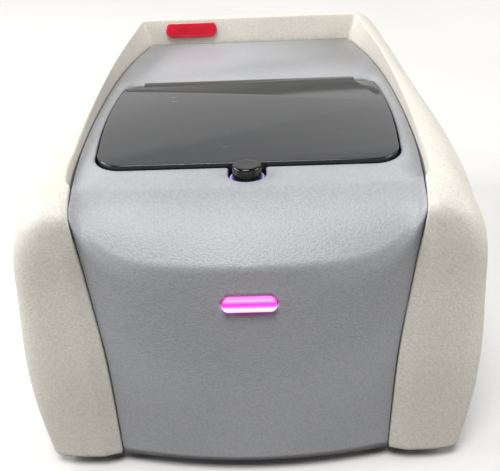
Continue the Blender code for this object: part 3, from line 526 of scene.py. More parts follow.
def quarter(level):  # how far out the shoulder is at this level, from 1 at the widest line to 0
    return max(cos(level * pi / 2), 0.0) if level < 1 else 0.0


def sidePoint(level, y):
    if level <= 0:
        z = mix(casing["widestZ"], casing["bottomZ"], -level)
        return through(z, lowerX), z
    power = 2 / through(y, shoulderPower)
    x0, z1 = through(y, crestX), through(y, crestZ)
    return (mix(x0, casing["halfWidth"], quarter(level) ** power),
            mix(casing["widestZ"], z1, sin(level * pi / 2) ** power))


def rearPoint(level):
    if level <= 0:
        z = mix(casing["widestZ"], casing["bottomZ"], -level)
        return casing["halfDepth"] - 0.25 * (casing["halfWidth"] - through(z, lowerX)), z
    power = 2 / casing["rearPower"]
    return (mix(casing["rimY"], casing["halfDepth"], quarter(level) ** power),
            mix(casing["widestZ"], casing["height"], sin(level * pi / 2) ** power))


# Outer shell: a coarse cage with holding rows near its edges, smoothed by subdivision
shellForm = {
    "wall": 2.4,
    "hold": 2.2,            # distance of the holding rows from the crest and the front edge
    "lipDepth": 8.0,
    "windowX": 78.0,        # the rear panel's window in the shell
    "windowLevels": (-0.915, -0.07),
    "levels": (-1.0, -0.97, -0.915, -0.87, -0.74, -0.6, -0.46, -0.32, -0.2, -0.12, -0.07, 0.0,
               0.08, 0.16, 0.26, 0.36, 0.46, 0.56, 0.66, 0.76, 0.85, 0.92, 0.965, 1.0),
    "cornerSteps": 12,
    "facetWidth": ((-1.0, 9.0), (0.0, 6.5), (0.6, 3.6), (1.0, 2.6)),    # facet along the front edge, by level
    "facetDepth": ((-1.0, 2.8), (0.0, 2.4), (0.6, 1.5), (1.0, 0.5)),
    "sideSteps": 14,
    "rearCornerSteps": 10,
    "rearX": (82.0, 78.0, 73.0, 50.0, 25.0, 0.0),
}


def spread(line, distances):  # points at these distances along a line of points
    found, walked, k = [], 0.0, 0
    for distance in distances:
        while k < len(line) - 2 and walked + (line[k + 1] - line[k]).length < distance:
            walked += (line[k + 1] - line[k]).length
            k += 1
        found.append(line[k].lerp(line[k + 1], (distance - walked) / (line[k + 1] - line[k]).length))
    return found


def skinRow(level):  # from the front edge round the corner, along the side and round to the rear's middle
    edge = edgePoint(level)
    endY = through(level, cornerEnd)
    sx, sz = sidePoint(level, endY)
    power = 2 / through(level, cornerPower)
    corner = []
    for k in range(81):
        t = k / 80
        across, back = sin(t * pi / 2) ** power, max(cos(t * pi / 2), 0.0) ** power if k < 80 else 0.0
        corner.append(Vector((mix(edge.x, sx, across), mix(endY, edge.y, back), mix(edge.z, sz, ease(t)))))
    length = sum((b - a).length for a, b in zip(corner, corner[1:]))
    width, count = through(level, shellForm["facetWidth"]), shellForm["cornerSteps"]
    starts = [0.0, width - 0.9, width + 0.9] + [mix(width + 0.9, length, k / count) for k in range(1, count)]
    row = spread(corner, starts)
    row[0] = row[0] + edgeInward(level) * through(level, shellForm["facetDepth"])
    row[1] = row[0].lerp(row[2], (width - 0.9) / (width + 0.9))
    for k in range(shellForm["sideSteps"]):
        y = mix(endY, casing["sideEndY"], k / shellForm["sideSteps"])
        x, z = sidePoint(level, y)
        row.append(Vector((x, y, z)))
    sx, sz = sidePoint(level, casing["sideEndY"])
    ry, rz = rearPoint(level)
    power = 2 / mix(2.6, 9.0, max(level, 0.0) ** 3)
    startX = shellForm["rearX"][0]
    for k in range(shellForm["rearCornerSteps"]):
        t = k / shellForm["rearCornerSteps"]
        row.append(Vector((mix(startX, sx, cos(t * pi / 2) ** power),
                           mix(casing["sideEndY"], ry, sin(t * pi / 2) ** power), mix(sz, rz, ease(t)))))
    row += [Vector((x, ry, rz)) for x in shellForm["rearX"]]
    return row


def innerFoot(point, startY):  # where the crest's inner wall goes below the deck
    depth = 4.0 + min(max((startY - point.y) / -20.0, 0.0), 1.0)
    if point.y < casing["rimY"] - 1.0 and point.x > shellForm["rearX"][0]:
        y = min(point.y, casing["bulkheadY"])
        return Vector((through(y, deckEdgeX), y, deckZ - depth))
    return Vector((min(point.x, through(casing["bulkheadY"], deckEdgeX)), casing["bulkheadY"], deckZ - depth))


def stepTowards(here, there, distance):
    way = there - here
    return here + way * min(distance / max(way.length, 0.001), 0.5)


def makeOuterShell():
    levels = list(shellForm["levels"])
    rows = [skinRow(level) for level in levels]
    hold = shellForm["hold"]
    rows.insert(-1, [stepTowards(top, below, hold) for top, below in zip(rows[-1], rows[-2])])
    levels.insert(-1, mix(levels[-2], 1.0, 0.75))
    for row in rows:
        row.insert(1, stepTowards(row[0], row[1], hold * 0.6))
    columns, last = len(rows[0]), len(rows) - 1
    feet = [innerFoot(point, rows[-1][0].y) for point in rows[-1]]
    lips = [[row[0] + edgeInward(level) * depth for row, level in zip(rows, levels)]
            for depth in (hold * 0.6, shellForm["lipDepth"] - 3.0)]
    walls = [[stepTowards(top, foot, hold) for top, foot in zip(rows[-1], feet)], feet]

    bm = bmesh.new()
    column, line = bm.verts.layers.int.new("column"), bm.verts.layers.int.new("line")
    bmesh.ops.create_grid(bm, x_segments=columns - 1, y_segments=last, size=1.0)
    for vert in bm.verts:
        vert[column] = round((vert.co.x + 1) / 2 * (columns - 1))
        vert[line] = round((vert.co.y + 1) / 2 * last)
        vert.co = rows[vert[line]][vert[column]]
    edges = [edge for edge in bm.edges if edge.is_boundary
             and (all(v[column] == 0 for v in edge.verts) or all(v[line] == last for v in edge.verts))]
    for lip, wall in zip(lips, walls):  # the lip beside the panel and the inner wall are one strip
        strip = bmesh.ops.extrude_edge_only(bm, edges=edges)["geom"]
        for vert in vertsIn(strip):
            vert.co = lip[vert[line]] if vert[column] == 0 else wall[vert[column]]
        edges = edgesIn(strip)
    low, high = [min(range(len(levels)), key=lambda k: abs(levels[k] - level))
                 for level in shellForm["windowLevels"]]
    inWindow = [face for face in bm.faces
                if all(v.co.y > casing["bulkheadY"] + 8 and v.co.x <= shellForm["windowX"] + 0.1
                       and low <= v[line] <= high for v in face.verts)]
    bmesh.ops.delete(bm, geom=inWindow, context="FACES")
    bmesh.ops.mirror(bm, geom=bm.verts[:] + bm.edges[:] + bm.faces[:], merge_dist=0.01, axis="X")
    pointOutwards(bm, Vector((1, 0, 0)))
    piece = finishPiece("outerShell", bm, "base", ["outer_shell"], "ivory_moulding", sharpAngle=180)
    wallStep = piece.modifiers.new("wall", "SOLIDIFY")
    wallStep.thickness, wallStep.offset, wallStep.use_even_offset = shellForm["wall"] * mm, -1.0, True
    smooth = piece.modifiers.new("smooth", "SUBSURF")
    smooth.levels = smooth.render_levels = 2
    print("outer shell made:", columns, "by", last + 1, "cage")


# Grey panel: face, brow and deck
panelForm = {
    "wall": 1.4,
    "seam": 0.6,
    "faceRows": 44,
    "browRows": 44,
    "across": 52,
    "creaseZ": 119.0,
    "creaseY": -177.5,
    "creaseLevel": 0.8,     # how high up the casing's front edge the crease ends
    "creaseBend": 6.0,      # how late it turns up towards that end
    "footBend": 2.0,
    "browY": -136.5,
    "footZ": 8.0,
    "creaseSoftening": 3,   # smoothing passes over the rows beside the crease
    "lipRadius": 0.9,       # rounded edge of the lid's opening, and at its rear
    "rearLipRadius": 3.2,
    "lipDrop": 3.0,
    "notchRadius": 10.5,
    "filletRadius": 1.9,
}
opening = {
    "frontY": -111.5,
    "rearY": 50.5,
    "straightX": 71.0,
    "waistY": -8.5,
    "waistX": 94.5,
    "cornerY": -87.0,
    "rearRadius": 7.0,
    "buttonY": -120.5,
}


def browProfile(t):  # how far the brow has risen, from the crease at 0 to the deck at 1
    return 1 - (1 - t) ** 1.5


def panelEdge(level):
    depth = through(level, ((0.5, 4.2), (1.0, 3.0)))
    place = edgePoint(level) + edgeInward(level) * depth
    return Vector((place.x - panelForm["seam"], place.y, place.z))


def panelRow(centre, edge, bend):  # centre: (y, z) of the row's middle
    row = []
    for k in range(panelForm["across"] + 1):
        t = k / panelForm["across"]
        u = mix(t, sin(t * pi / 2), 0.6)
        plan = 0.45 * u**2 + 0.55 * u**bend
        row.append(Vector((edge.x * u, mix(centre[0], edge.y, plan), mix(centre[1], edge.z, u**bend))))
    return row


def sideOfLid(y):
    return opening["waistX"] - 2.6 * ((y - opening["waistY"]) / 57.0) ** 2


def movedIn(ring, inset):  # an anticlockwise ring moved inwards; inset may be a function of the point
    out = []
    for k, here in enumerate(ring):
        here, before, after = Vector(here), Vector(ring[k - 1]), Vector(ring[(k + 1) % len(ring)])
        a, b = (here - before).normalized(), (after - here).normalized()
        normal = Vector((-(a + b).y, (a + b).x)).normalized()
        amount = inset(here) if callable(inset) else inset
        out.append(here + normal * amount / max(0.5, normal.dot(Vector((-a.y, a.x)))))
    return out


def halfOutline(steps=14):  # the opening's right half, from its front corner back to the rear edge
    half = []
    cornerX = sideOfLid(opening["cornerY"])
    for t in quarterTurn(steps):
        half.append((mix(opening["straightX"], cornerX, sin(t)),
                     mix(opening["cornerY"], opening["frontY"], cos(t))))
    lastY = opening["rearY"] - opening["rearRadius"]
    half += [(sideOfLid(mix(opening["cornerY"], lastY, k / steps)), mix(opening["cornerY"], lastY, k / steps))
             for k in range(1, steps + 1)]
    centreX = sideOfLid(lastY) - opening["rearRadius"]
    for t in quarterTurn(8)[1:]:
        half.append((centreX + opening["rearRadius"] * cos(t), lastY + opening["rearRadius"] * sin(t)))
    return half


def openingOutline():  # with the round notch that the button stands in
    r, f = panelForm["notchRadius"], panelForm["filletRadius"]
    notch = [(r * sin(t), opening["buttonY"] - r * cos(t)) for t in quarterTurn(12)]
    fillet = [(r + f - f * cos(t), opening["frontY"] - f + f * sin(t)) for t in quarterTurn(5)]
    half = notch + fillet + halfOutline()
    return half + [(-x, y) for x, y in reversed(half) if x > 0.001]


def lipAt(point):
    rear = ease((point.y - 34) / 12)
    return mix(panelForm["lipRadius"], panelForm["rearLipRadius"], rear)


def makeTopPanel():
    rows = []
    creaseY, creaseZ = panelForm["creaseY"], panelForm["creaseZ"]
    level, bend = panelForm["creaseLevel"], panelForm["creaseBend"]
    for k in range(panelForm["faceRows"]):
        t = k / panelForm["faceRows"]
        centre = (mix(-casing["halfDepth"], creaseY, t), mix(panelForm["footZ"], creaseZ, t))
        rows.append(panelRow(centre, panelEdge(mix(-1.0, level, t)), mix(panelForm["footBend"], bend, t)))
    for k in range(panelForm["browRows"] + 1):
        t = k / panelForm["browRows"]
        centre = (mix(creaseY, panelForm["browY"], t), mix(creaseZ, deckZ, browProfile(t)))
        rows.append(panelRow(centre, panelEdge(mix(level, 1.0, t)), bend))
    across, last = panelForm["across"], len(rows) - 1
    bm = bmesh.new()
    line, place = bm.verts.layers.int.new("line"), bm.verts.layers.int.new("place")
    bmesh.ops.create_grid(bm, x_segments=across, y_segments=last, size=1.0)
    for vert in bm.verts:
        vert[line] = round((vert.co.y + 1) / 2 * last)
        vert.co = rows[vert[line]][round((vert.co.x + 1) / 2 * across)]
    crease = panelForm["faceRows"]
    beside = [v for v in bm.verts if abs(v[line] - crease) < 3 and not v.is_boundary]
    for _ in range(panelForm["creaseSoftening"]):
        bmesh.ops.smooth_vert(bm, verts=beside, factor=0.5, use_axis_y=True, use_axis_z=True)
    bmesh.ops.mirror(bm, geom=bm.verts[:] + bm.edges[:] + bm.faces[:], merge_dist=0.01, axis="X")

    seam, rearY = panelForm["seam"], casing["bulkheadY"] - panelForm["seam"]
    brow = sorted((v for v in bm.verts if v[line] == last and abs(v.co.z - deckZ) < 0.2),
                  key=lambda v: v.co.x)
    ys = [mix(brow[-1].co.y, rearY, k / 40) for k in range(1, 41)]
    right = [bm.verts.new((through(y, deckEdgeX) - seam, y, deckZ)) for y in ys]
    left = [bm.verts.new((-v.co.x, v.co.y, deckZ)) for v in reversed(right)]
    chain = [brow[-1]] + right + left + [brow[0]]
    rim = [bm.edges.new(pair) for pair in zip(chain, chain[1:])]
    rim += [bm.edges.get(pair) for pair in zip(brow, brow[1:])]

    outline = [Vector(point) for point in openingOutline()]
    support = [bm.verts.new((*p, deckZ)) for p in movedIn(outline, lambda point: -lipAt(point) - 0.6)]
    loop = [bm.edges.new((support[k - 1], support[k])) for k in range(len(support))]
    bmesh.ops.triangle_fill(bm, use_beauty=True, use_dissolve=False, edges=rim + loop)
    for k, vert in enumerate(support):
        vert[place] = k
    steps = [(1 - sin(t), 1 - cos(t), 0.0) for t in quarterTurn(4)] + [(0.0, 1.0, panelForm["lipDrop"])]
    for outShare, downShare, drop in steps:  # rolls the opening's edge over and takes it down
        ring = movedIn(outline, lambda point: -lipAt(point) * outShare)
        fresh, loop = extendEdges(bm, loop)
        for vert in fresh:
            k = vert[place]
            vert.co = (*ring[k], deckZ - lipAt(outline[k]) * downShare - drop)
    pointOutwards(bm, Vector((0, 0, 1)))
    piece = finishPiece("topPanel", bm, "base", ["top_panel"], "grey_moulding", sharpAngle=60)
    wallStep = piece.modifiers.new("wall", "SOLIDIFY")
    wallStep.thickness, wallStep.offset = panelForm["wall"] * mm, -1.0
    print("top panel made:", len(piece.data.polygons), "faces")
    return piece


def makeLightSlot(panel):  # the slot that the status lens stands in, cut through the face
    low, high = boxOf("status_lens")
    centre = (low + high) / 2
    bm = bmesh.new()
    addPlate(bm, stadiumOutline((high.x - low.x) / 2 + 0.45, (high.z - low.z) / 2 + 0.4), -12.0, 12.0)
    upright = Matrix.Translation(centre) @ Matrix.Rotation(pi / 2, 4, "X")
    bmesh.ops.transform(bm, matrix=upright, verts=bm.verts)
    cutter = linkedObject("lightSlot", meshFrom("lightSlot", bm))
    cut = panel.modifiers.new("slot", "BOOLEAN")
    cut.operation, cut.solver, cut.object = "DIFFERENCE", "EXACT", cutter
    bakeModifiers(panel)
    bpy.data.objects.remove(cutter, do_unlink=True)


# Lid
lidForm = {
    "gap": 1.5,             # between the lid and its opening
    "shoulderY": 33.9,      # the wide part ends here, rounded, and the tab goes on
    "shoulderRadius": 4.0,
    "tabCorner": 1.2,
    "edge": 0.9,            # polished round of the top edge
}


def lidOutline(inset):  # the lid's own outline, with its tab at the rear
    half = [(0.0, opening["frontY"]), (opening["straightX"] * 0.5, opening["frontY"])] + halfOutline()
    ring = half + [(-x, y) for x, y in reversed(half) if x > 0.001]
    ring = movedIn(ring, inset)
    shoulder, r = lidForm["shoulderY"], lidForm["shoulderRadius"]
    right = [p for p in ring if p.x > 0 and p.y < shoulder - r]
    right = sorted(right, key=lambda p: (p.y, p.x))
    side = sideOfLid(shoulder - r) - inset
    right += [Vector((side - r + r * cos(t), shoulder - r + r * sin(t))) for t in quarterTurn(6)]
    high = boxOf("lid_hinge_strip")[1]
    c = lidForm["tabCorner"]
    # the inner corner where the tab leaves the shoulder, then the tab's own corner
    right += [Vector((high.x + c - c * sin(t), shoulder + c - c * cos(t))) for t in quarterTurn(4)]
    right += [Vector((high.x - c + c * cos(t), high.y - c + c * sin(t))) for t in quarterTurn(4)]
    return right + [Vector((-p.x, p.y)) for p in reversed(right)]


def makeLid():
    low, high = boxOf("lid_window")
    bm = bmesh.new()
    addPlate(bm, lidOutline(lidForm["gap"]), low.z, high.z, lidForm["edge"], 4)
    finishPiece("lidPlate", bm, "lid", ["lid_window", "lid_hinge_strip"], "smoked_window")
    print("lid made")


# Release button with its spring and light ring
buttonForm = {
    "footZ": 136.5,
    "round": 1.4,
    "wall": 1.1,
    "underTopZ": 146.0,
    "stemRadius": 3.0,
    "springFootZ": 134.0,
    "springKeep": 0.82,     # how much of its length the spring keeps when the button is down
}


def makeButton():
    low, high = boxOf("button_cap")
    radius, top, foot = (high.x - low.x) / 2, high.z, buttonForm["footZ"]
    inner, under, stem, r = (buttonForm[key] for key in ("wall", "underTopZ", "stemRadius", "round"))
    at = Vector((0, (low.y + high.y) / 2, 0))
    rim = [(radius - r + r * sin(t), top - r + r * cos(t)) for t in quarterTurn(5)]
    bm = bmesh.new()
    addTurned(bm, [(0.0, top - 0.25), (radius * 0.5, top - 0.1)] + rim
              + [(radius, foot + 0.4), (radius - 0.4, foot), (radius - inner, foot), (radius - inner, under),
                 (stem, under), (stem, low.z), (0.0, low.z)], at)
    finishPiece("buttonCap", bm, "button", ["button_cap"], "black_plastic", "gloss_black")
    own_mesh(bpy.data.objects["button_spring"])
    low, high = boxOf("button_light_ring")
    outer, inner = (high.x - low.x) / 2, radius + 0.4
    bm = bmesh.new()
    addTurned(bm, [(inner, low.z), (inner, high.z - 0.5), (inner + 0.4, high.z), (outer - 0.4, high.z),
                   (outer, high.z - 0.5), (outer, low.z), (inner, low.z)], at)
    finishPiece("buttonLightRing", bm, "base", ["button_light_ring"], "light_guide")
    print("button made")


# Status lens on the face, and the domed badge on the bulkhead, left plain. Heights are from the
# middle of each one's box, along the way it faces
lensForm = {"radius": 3.5, "backZ": -3.5, "faceZ": 2.7, "edge": 1.2}
badgeForm = {
    "radius": 6.5,
    "backZ": -0.95,
    "faceZ": 0.15,
    "dome": ((0.35, 0.32), (0.6, 0.22), (0.9, 0.16), (1.5, 0.12), (1.6, 0.05)),    # steps in and up
}


def leanBack(bm, node, run, rise):  # stands a flat plate on a face that leans back by run over rise
    lean = atan2(run, rise)
    ways = Vector((1, 0, 0)), Vector((0, sin(lean), cos(lean))), Vector((0, -cos(lean), sin(lean)))
    turn = Matrix(ways).transposed().to_4x4()
    bmesh.ops.transform(bm, matrix=Matrix.Translation(middleOf(node)) @ turn, verts=bm.verts)


def makeStatusLens():
    low, high = boxOf("status_lens")
    bm = bmesh.new()
    outline = stadiumOutline((high.x - low.x) / 2, lensForm["radius"])
    addPlate(bm, outline, lensForm["backZ"], lensForm["faceZ"], lensForm["edge"], 5)
    leanBack(bm, "status_lens", panelForm["creaseY"] + casing["halfDepth"],
             panelForm["creaseZ"] - panelForm["footZ"])
    finishPiece("statusLens", bm, "base", ["status_lens"], "status_lamp")
    print("status lens made")


def makeBadge():
    low, high = boxOf("badge")
    bm = bmesh.new()
    outline = stadiumOutline((high.x - low.x) / 2, badgeForm["radius"], 24)
    addPlate(bm, outline, badgeForm["backZ"], badgeForm["faceZ"])
    top = max(bm.faces, key=lambda face: face.calc_center_median().z)
    for width, rise in badgeForm["dome"]:  # resin pulled into a dome by its own surface
        bmesh.ops.inset_region(bm, faces=[top], thickness=width, use_even_offset=True)
        bmesh.ops.translate(bm, vec=(0, 0, rise), verts=top.verts)
    leanBack(bm, "badge", casing["rimY"] - casing["bulkheadY"], casing["height"] - deckZ)
    finishPiece("badgeDome", bm, "base", ["badge"], "red_badge", sharpAngle=50)
    print("badge made")


# Feet
def makeFeet():
    for name in ("front_left", "front_right", "rear_left", "rear_right"):
        low, high = boxOf("foot_" + name)
        radius, height = (high.x - low.x) / 2, high.z
        grooves = []
        for k in range(3):  # shallow ribs round the foot
            z = height - 1.6 - 1.5 * k
            grooves += [(radius, z + 0.35), (radius - 0.45, z + 0.2), (radius - 0.45, z - 0.2),
                        (radius, z - 0.35)]
        profile = ([(0.0, height), (radius - 0.5, height), (radius, height - 0.5)] + grooves
                   + [(radius, 1.0), (radius - 0.3, 0.35), (radius - 1.0, 0.0), (radius - 3.2, 0.0),
                      (radius - 3.6, 0.5), (0.0, 0.5)])
        bm = bmesh.new()
        addTurned(bm, profile, Vector(((low.x + high.x) / 2, (low.y + high.y) / 2, 0)), 48)
        pieceName = "foot" + "".join(word.capitalize() for word in name.split("_"))
        finishPiece(pieceName, bm, "base", ["foot_" + name], "foot_rubber", sharpAngle=40)
    print("feet made")


# Lid frame, seen when the lid is up
frameForm = {
    "bottomZ": 138.0,
    "topZ": 142.4,
    "window": (-74.0, -94.0, 74.0, 22.0),
    "windowCorner": 8.0,
    "edge": 0.6,
    "armX": (40.0, 60.0),
    "knuckleRadius": 3.5,
}


def makeLidFrame():
    axle = middleOf("lid_hinge_pin")
    shoulder = lidForm["shoulderY"] - 0.4
    bm = bmesh.new()
    outer = closedLoop(bm, [p for p in lidOutline(lidForm["gap"] + 1.5) if p.y <= shoulder],
                       frameForm["bottomZ"])
    window = closedLoop(bm, roundedOutline(*frameForm["window"], frameForm["windowCorner"]),
                        frameForm["bottomZ"])
    bmesh.ops.triangle_fill(bm, use_beauty=True, edges=outer + window)
    made = bmesh.ops.extrude_face_region(bm, geom=bm.faces[:])
    bmesh.ops.translate(bm, vec=(0, 0, frameForm["topZ"] - frameForm["bottomZ"]), verts=vertsIn(made["geom"]))
    pointOutwards(bm, Vector((0, 0, 1)))
    corners = [edge for edge in bm.edges if not edge.is_boundary and edge.calc_face_angle(0) > 1.2]
    bevelEdges(bm, corners, frameForm["edge"], 2)
    for side in (-1, 1):
        x0, x1 = sorted(side * x for x in frameForm["armX"])
        addBlock(bm, (x0, 29.0, frameForm["bottomZ"] + 0.4), (x1, axle.y, frameForm["topZ"] - 0.4), 0.4)
        addRod(bm, ((x0 + x1) / 2, axle.y, axle.z), frameForm["knuckleRadius"], x1 - x0, "X", 0.5)
    finishPiece("lidFrame", bm, "lid", ["lid_frame"], "black_plastic")
    print("lid frame made")


# Cartridge bay
bayForm = {
    "flangeZ": 131.0,
    "flangeCorner": 8.0,
    "tub": (-88.0, -104.0, 88.0, 34.0),     # outside of the tub: low x and y, high x and y
    "tubCorner": 10.0,
    "mouthCorner": 9.2,
    "lip": 1.3,             # from the tub's outside to the top of its rolled mouth
    "floorZ": 98.5,
    "heaterGap": 0.5,
    "lensHole": 9.5,
    "pinHole": 3.4,
    "paddleAt": (-62.0, 12.0),
    "plungersX": (58.0, 70.0),
    "plungersY": (-54.0, -32.0, -10.0),
}


def tubRing(inset):  # the tub's inside, this far in from the top of its mouth
    x0, y0, x1, y1 = bayForm["tub"]
    away = bayForm["lip"] + inset
    return roundedOutline(x0 + away, y0 + away, x1 - away, y1 - away, bayForm["mouthCorner"] - inset, 10)


def openFace(bm, face, z):  # takes a level face away; gives the edges it leaves
    bm.faces.remove(face)
    return [edge for edge in bm.edges
            if edge.is_boundary and all(abs(v.co.z - z) < 0.001 for v in edge.verts)]


def bayHoles():  # outlines of the holes in the floor, for the heater, the lens, the paddle and the plungers
    low, high = boxOf("heater_block")
    gap, lens = bayForm["heaterGap"], middleOf("camera_lens")
    rings = [roundedOutline(low.x - gap, low.y - gap, high.x + gap, high.y + gap, 1.5, 4)]
    rounds = [(lens.x, lens.y, bayForm["lensHole"]), (*bayForm["paddleAt"], bayForm["pinHole"])]
    rounds += [(x, y, bayForm["pinHole"]) for x in bayForm["plungersX"] for y in bayForm["plungersY"]]
    for x, y, radius in rounds:
        rings.append([(x + radius * cos(k / 20 * tau), y + radius * sin(k / 20 * tau)) for k in range(20)])
    return rings


def makeBayLiner():  # moulded tub with a flange
    low, high = boxOf("bay_liner")
    flangeZ, floorZ = bayForm["flangeZ"], bayForm["floorZ"]
    bm = bmesh.new()
    addPlate(bm, roundedOutline(low.x, low.y, high.x, high.y, bayForm["flangeCorner"]), flangeZ, high.z)
    level = [face for face in bm.faces if abs(face.normal.z) > 0.9]
    under, top = sorted(level, key=lambda face: face.calc_center_median().z)
    rim = openFace(bm, top, high.z)
    loop = closedLoop(bm, tubRing(0.0), high.z)
    bmesh.ops.triangle_fill(bm, use_beauty=True, edges=rim + loop)
    rim = openFace(bm, under, flangeZ)
    skirt = closedLoop(bm, roundedOutline(*bayForm["tub"], bayForm["tubCorner"], 10), flangeZ)
    bmesh.ops.triangle_fill(bm, use_beauty=True, edges=rim + skirt)
    fresh, skirt = extendEdges(bm, skirt)
    for vert in fresh:
        vert.co.z = low.z
    path = [(0.4, high.z - 0.1), (0.9, high.z - 0.5), (1.2, high.z - 1.2), (2.2, floorZ + 3.0),
            (2.9, floorZ + 1.0), (4.9, floorZ), (7.2, floorZ)]
    for inset, z in path:  # over the rolled mouth, down the wall and round into the floor
        fresh, loop = extendEdges(bm, loop)
        ring = tubRing(inset)
        for vert in fresh:
            x, y = min(ring, key=lambda p: (p[0] - vert.co.x) ** 2 + (p[1] - vert.co.y) ** 2)
            vert.co = (x, y, z)
    holes = [edge for ring in bayHoles() for edge in closedLoop(bm, ring, floorZ)]
    bmesh.ops.triangle_fill(bm, use_beauty=True, edges=loop + holes)
    fresh, ends = extendEdges(bm, holes)
    for vert in fresh:
        vert.co.z = low.z
    bmesh.ops.triangle_fill(bm, use_beauty=True, edges=skirt + ends)
    bmesh.ops.remove_doubles(bm, verts=bm.verts, dist=0.001)
    pointOutwards(bm, Vector((1, 0, 0)))
    finishPiece("bayLiner", bm, "base", ["bay_liner"], "black_plastic", sharpAngle=40)
    print("bay liner made")


heaterForm = {"edge": 0.8, "seats": (4, 6), "seatRadius": 3.2, "seatRise": 0.25}


def makeHeaterBlock():  # milled block with raised round seats for the cartridge's chambers
    low, high = boxOf("heater_block")
    radius, rise = heaterForm["seatRadius"], heaterForm["seatRise"]
    across, along = heaterForm["seats"]
    bm = bmesh.new()
    for i in range(across):
        for j in range(along):
            x, y = mix(low.x, high.x, (i + 0.5) / across), mix(low.y, high.y, (j + 0.5) / along)
            addRod(bm, (x, y, high.z + rise / 2 - 0.1), radius, rise + 0.2, "Z", 0.1, 32, radius - 0.3)
    addBlock(bm, low, high, heaterForm["edge"], 3)
    finishPiece("heaterBlock", bm, "base", ["heater_block"], "aluminium")
    print("heater block made")


# Rear fittings
socketForm = {"edge": 0.8, "leadIn": 0.5, "step": 0.3, "pinBack": 4.0}


def squareUp(face, middle, half):  # moves a face's corners to this half width and half height
    for vert in face.verts:
        vert.co.x = middle.x + (half[0] if vert.co.x > middle.x else -half[0])
        vert.co.z = middle.z + (half[1] if vert.co.z > middle.z else -half[1])


def makeSocket(name, node, wellHalf, wellDepth, pins=()):
    low, high = boxOf(node)
    middle = (low + high) / 2
    edge, step = socketForm["edge"], socketForm["step"]
    bm = bmesh.new()
    addBlock(bm, low, high)
    front = max(bm.faces, key=lambda f: f.calc_center_median().y)
    bevelEdges(bm, list(front.edges), edge, 3)
    front = max(bm.faces, key=lambda f: (round(f.calc_center_median().y, 3), f.calc_area()))
    border = (high.x - low.x) / 2 - edge - wellHalf[0]
    bmesh.ops.inset_region(bm, faces=[front], thickness=max(border, step), use_even_offset=True)
    squareUp(front, middle, wellHalf)
    for back in (socketForm["leadIn"], wellDepth):  # a small lead-in, then the well
        front = bmesh.ops.extrude_discrete_faces(bm, faces=[front])["faces"][0]
        for vert in front.verts:
            vert.co.y = high.y - back
        squareUp(front, middle, (wellHalf[0] - step, wellHalf[1] - step))
    pointOutwards(bm, Vector((0, 1, 0)))
    for dx, dz, halfX, halfZ in pins:
        x, z = middle.x + dx, middle.z + dz
        addBlock(bm, (x - halfX, high.y - wellDepth - 0.5, z - halfZ),
                 (x + halfX, high.y - socketForm["pinBack"], z + halfZ), 0.3)
    finishPiece(name, bm, "base", [node], "black_plastic", sharpAngle=30)


def makeRearFittings():
    makeSocket("powerInlet", "power_inlet", (11.5, 8.0), 17.0, ((-7, -2, 2, 1), (0, 3, 2, 1), (7, -2, 2, 1)))
    contacts = [(k * 1.3 - 4.55, -3.6, 0.3, 0.5) for k in range(8)]
    makeSocket("networkPort", "network_port", (6.2, 5.2), 14.0, contacts)
    makeSocket("dataPort", "data_port", (6.2, 5.2), 14.0, ((0, 0, 4.2, 1.0),))
    print("rear fittings made")


def dressNodes():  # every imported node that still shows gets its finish; each slot has one material
    slotOf = {
        "plated_steel": ("base_tray", "rear_panel", "base_screw", "lid_catch_plate", "lid_hinge_pin",
                         "hinge_bracket", "power_supply", "beater_motor", "beater_paddle"),
        "spring_steel": ("lid_spring", "button_spring"),
        "aluminium": ("heat_sink", "plunger_bar", "air_manifold", "magnet_rail", "chassis"),
        "ceramic": ("peltier_module",),
        "circuit_board": ("main_board", "status_board"),
        "lens_glass": ("camera_lens",),
        "light_guide": ("air_hose",),
        "seal_rubber": ("lid_seal",),
        "magnet": ("lid_catch_magnet", "magnet_slide"),
    }
    for name, node in nodes.items():
        slot = next((slot for slot, starts in slotOf.items() if name.startswith(starts)), "black_plastic")
        node.data.materials.clear()
        node.data.materials.append(materials["clear_tube"] if name == "air_hose" else materials[slot])


dressNodes()
makeOuterShell()
makeLightSlot(makeTopPanel())
makeLid()
makeLidFrame()
makeButton()
makeStatusLens()
makeBadge()
makeFeet()
makeBayLiner()
makeHeaterBlock()
makeRearFittings()


# Floor, lights and camera
studio = {
    "floorSize": 40.0,      # metres, as are the lights' places and sizes
    "floorColour": "#dcdbd9",
    "cloudMm": 1000 / 3,    # faint patches in the floor's paint
    "horizonColour": "#f1efea",
    "sky": ((0.47, 0.05), (0.50, 0.30), (0.57, 0.55), (0.66, 0.15), (1.0, 0.10)),   # strength by height
    "sunAt": (-0.10, -0.26, 1.0),
    "sunStrength": 2.6,
    "sunAngle": 32.0,       # degrees: as soft as a large overhead softbox
}
lights = {  # name: (place, what it points at, its width and height, watts)
    "rearSoftbox": ((0.0, 1.7, 1.15), (0, 0, 0.12), (3.4, 1.2), 10.0),
    "leftSoftbox": ((-1.4, -0.15, 0.75), (0, 0, 0.1), (0.9, 0.6), 12.0),
    "rightSoftbox": ((1.4, -0.15, 0.75), (0, 0, 0.1), (0.9, 0.6), 10.0),
    "cornerGlint": ((-0.99, 0.40, 0.69), (-0.086, -0.16, 0.138), (0.35, 0.35), 5.0),
}


def makeFloor():
    bm = bmesh.new()
    bmesh.ops.create_grid(bm, x_segments=1, y_segments=1, size=studio["floorSize"] / 2)
    mesh = meshFrom("floor", bm, 1.0)
    paint, tree, shader, coords = startMaterial("matt painted board", studio["floorColour"], Roughness=0.9)
    cloud = noiseAt(tree, coords, studio["cloudMm"])
    colourFrom(tree, shader, cloud, ((0.3, "#d5d4d2"), (0.7, "#dbdad8")))
    mesh.materials.append(paint)
    floor = linkedObject("floor", mesh)
    floor.visible_diffuse = False   # its bounce would flatten the shade on the lower front


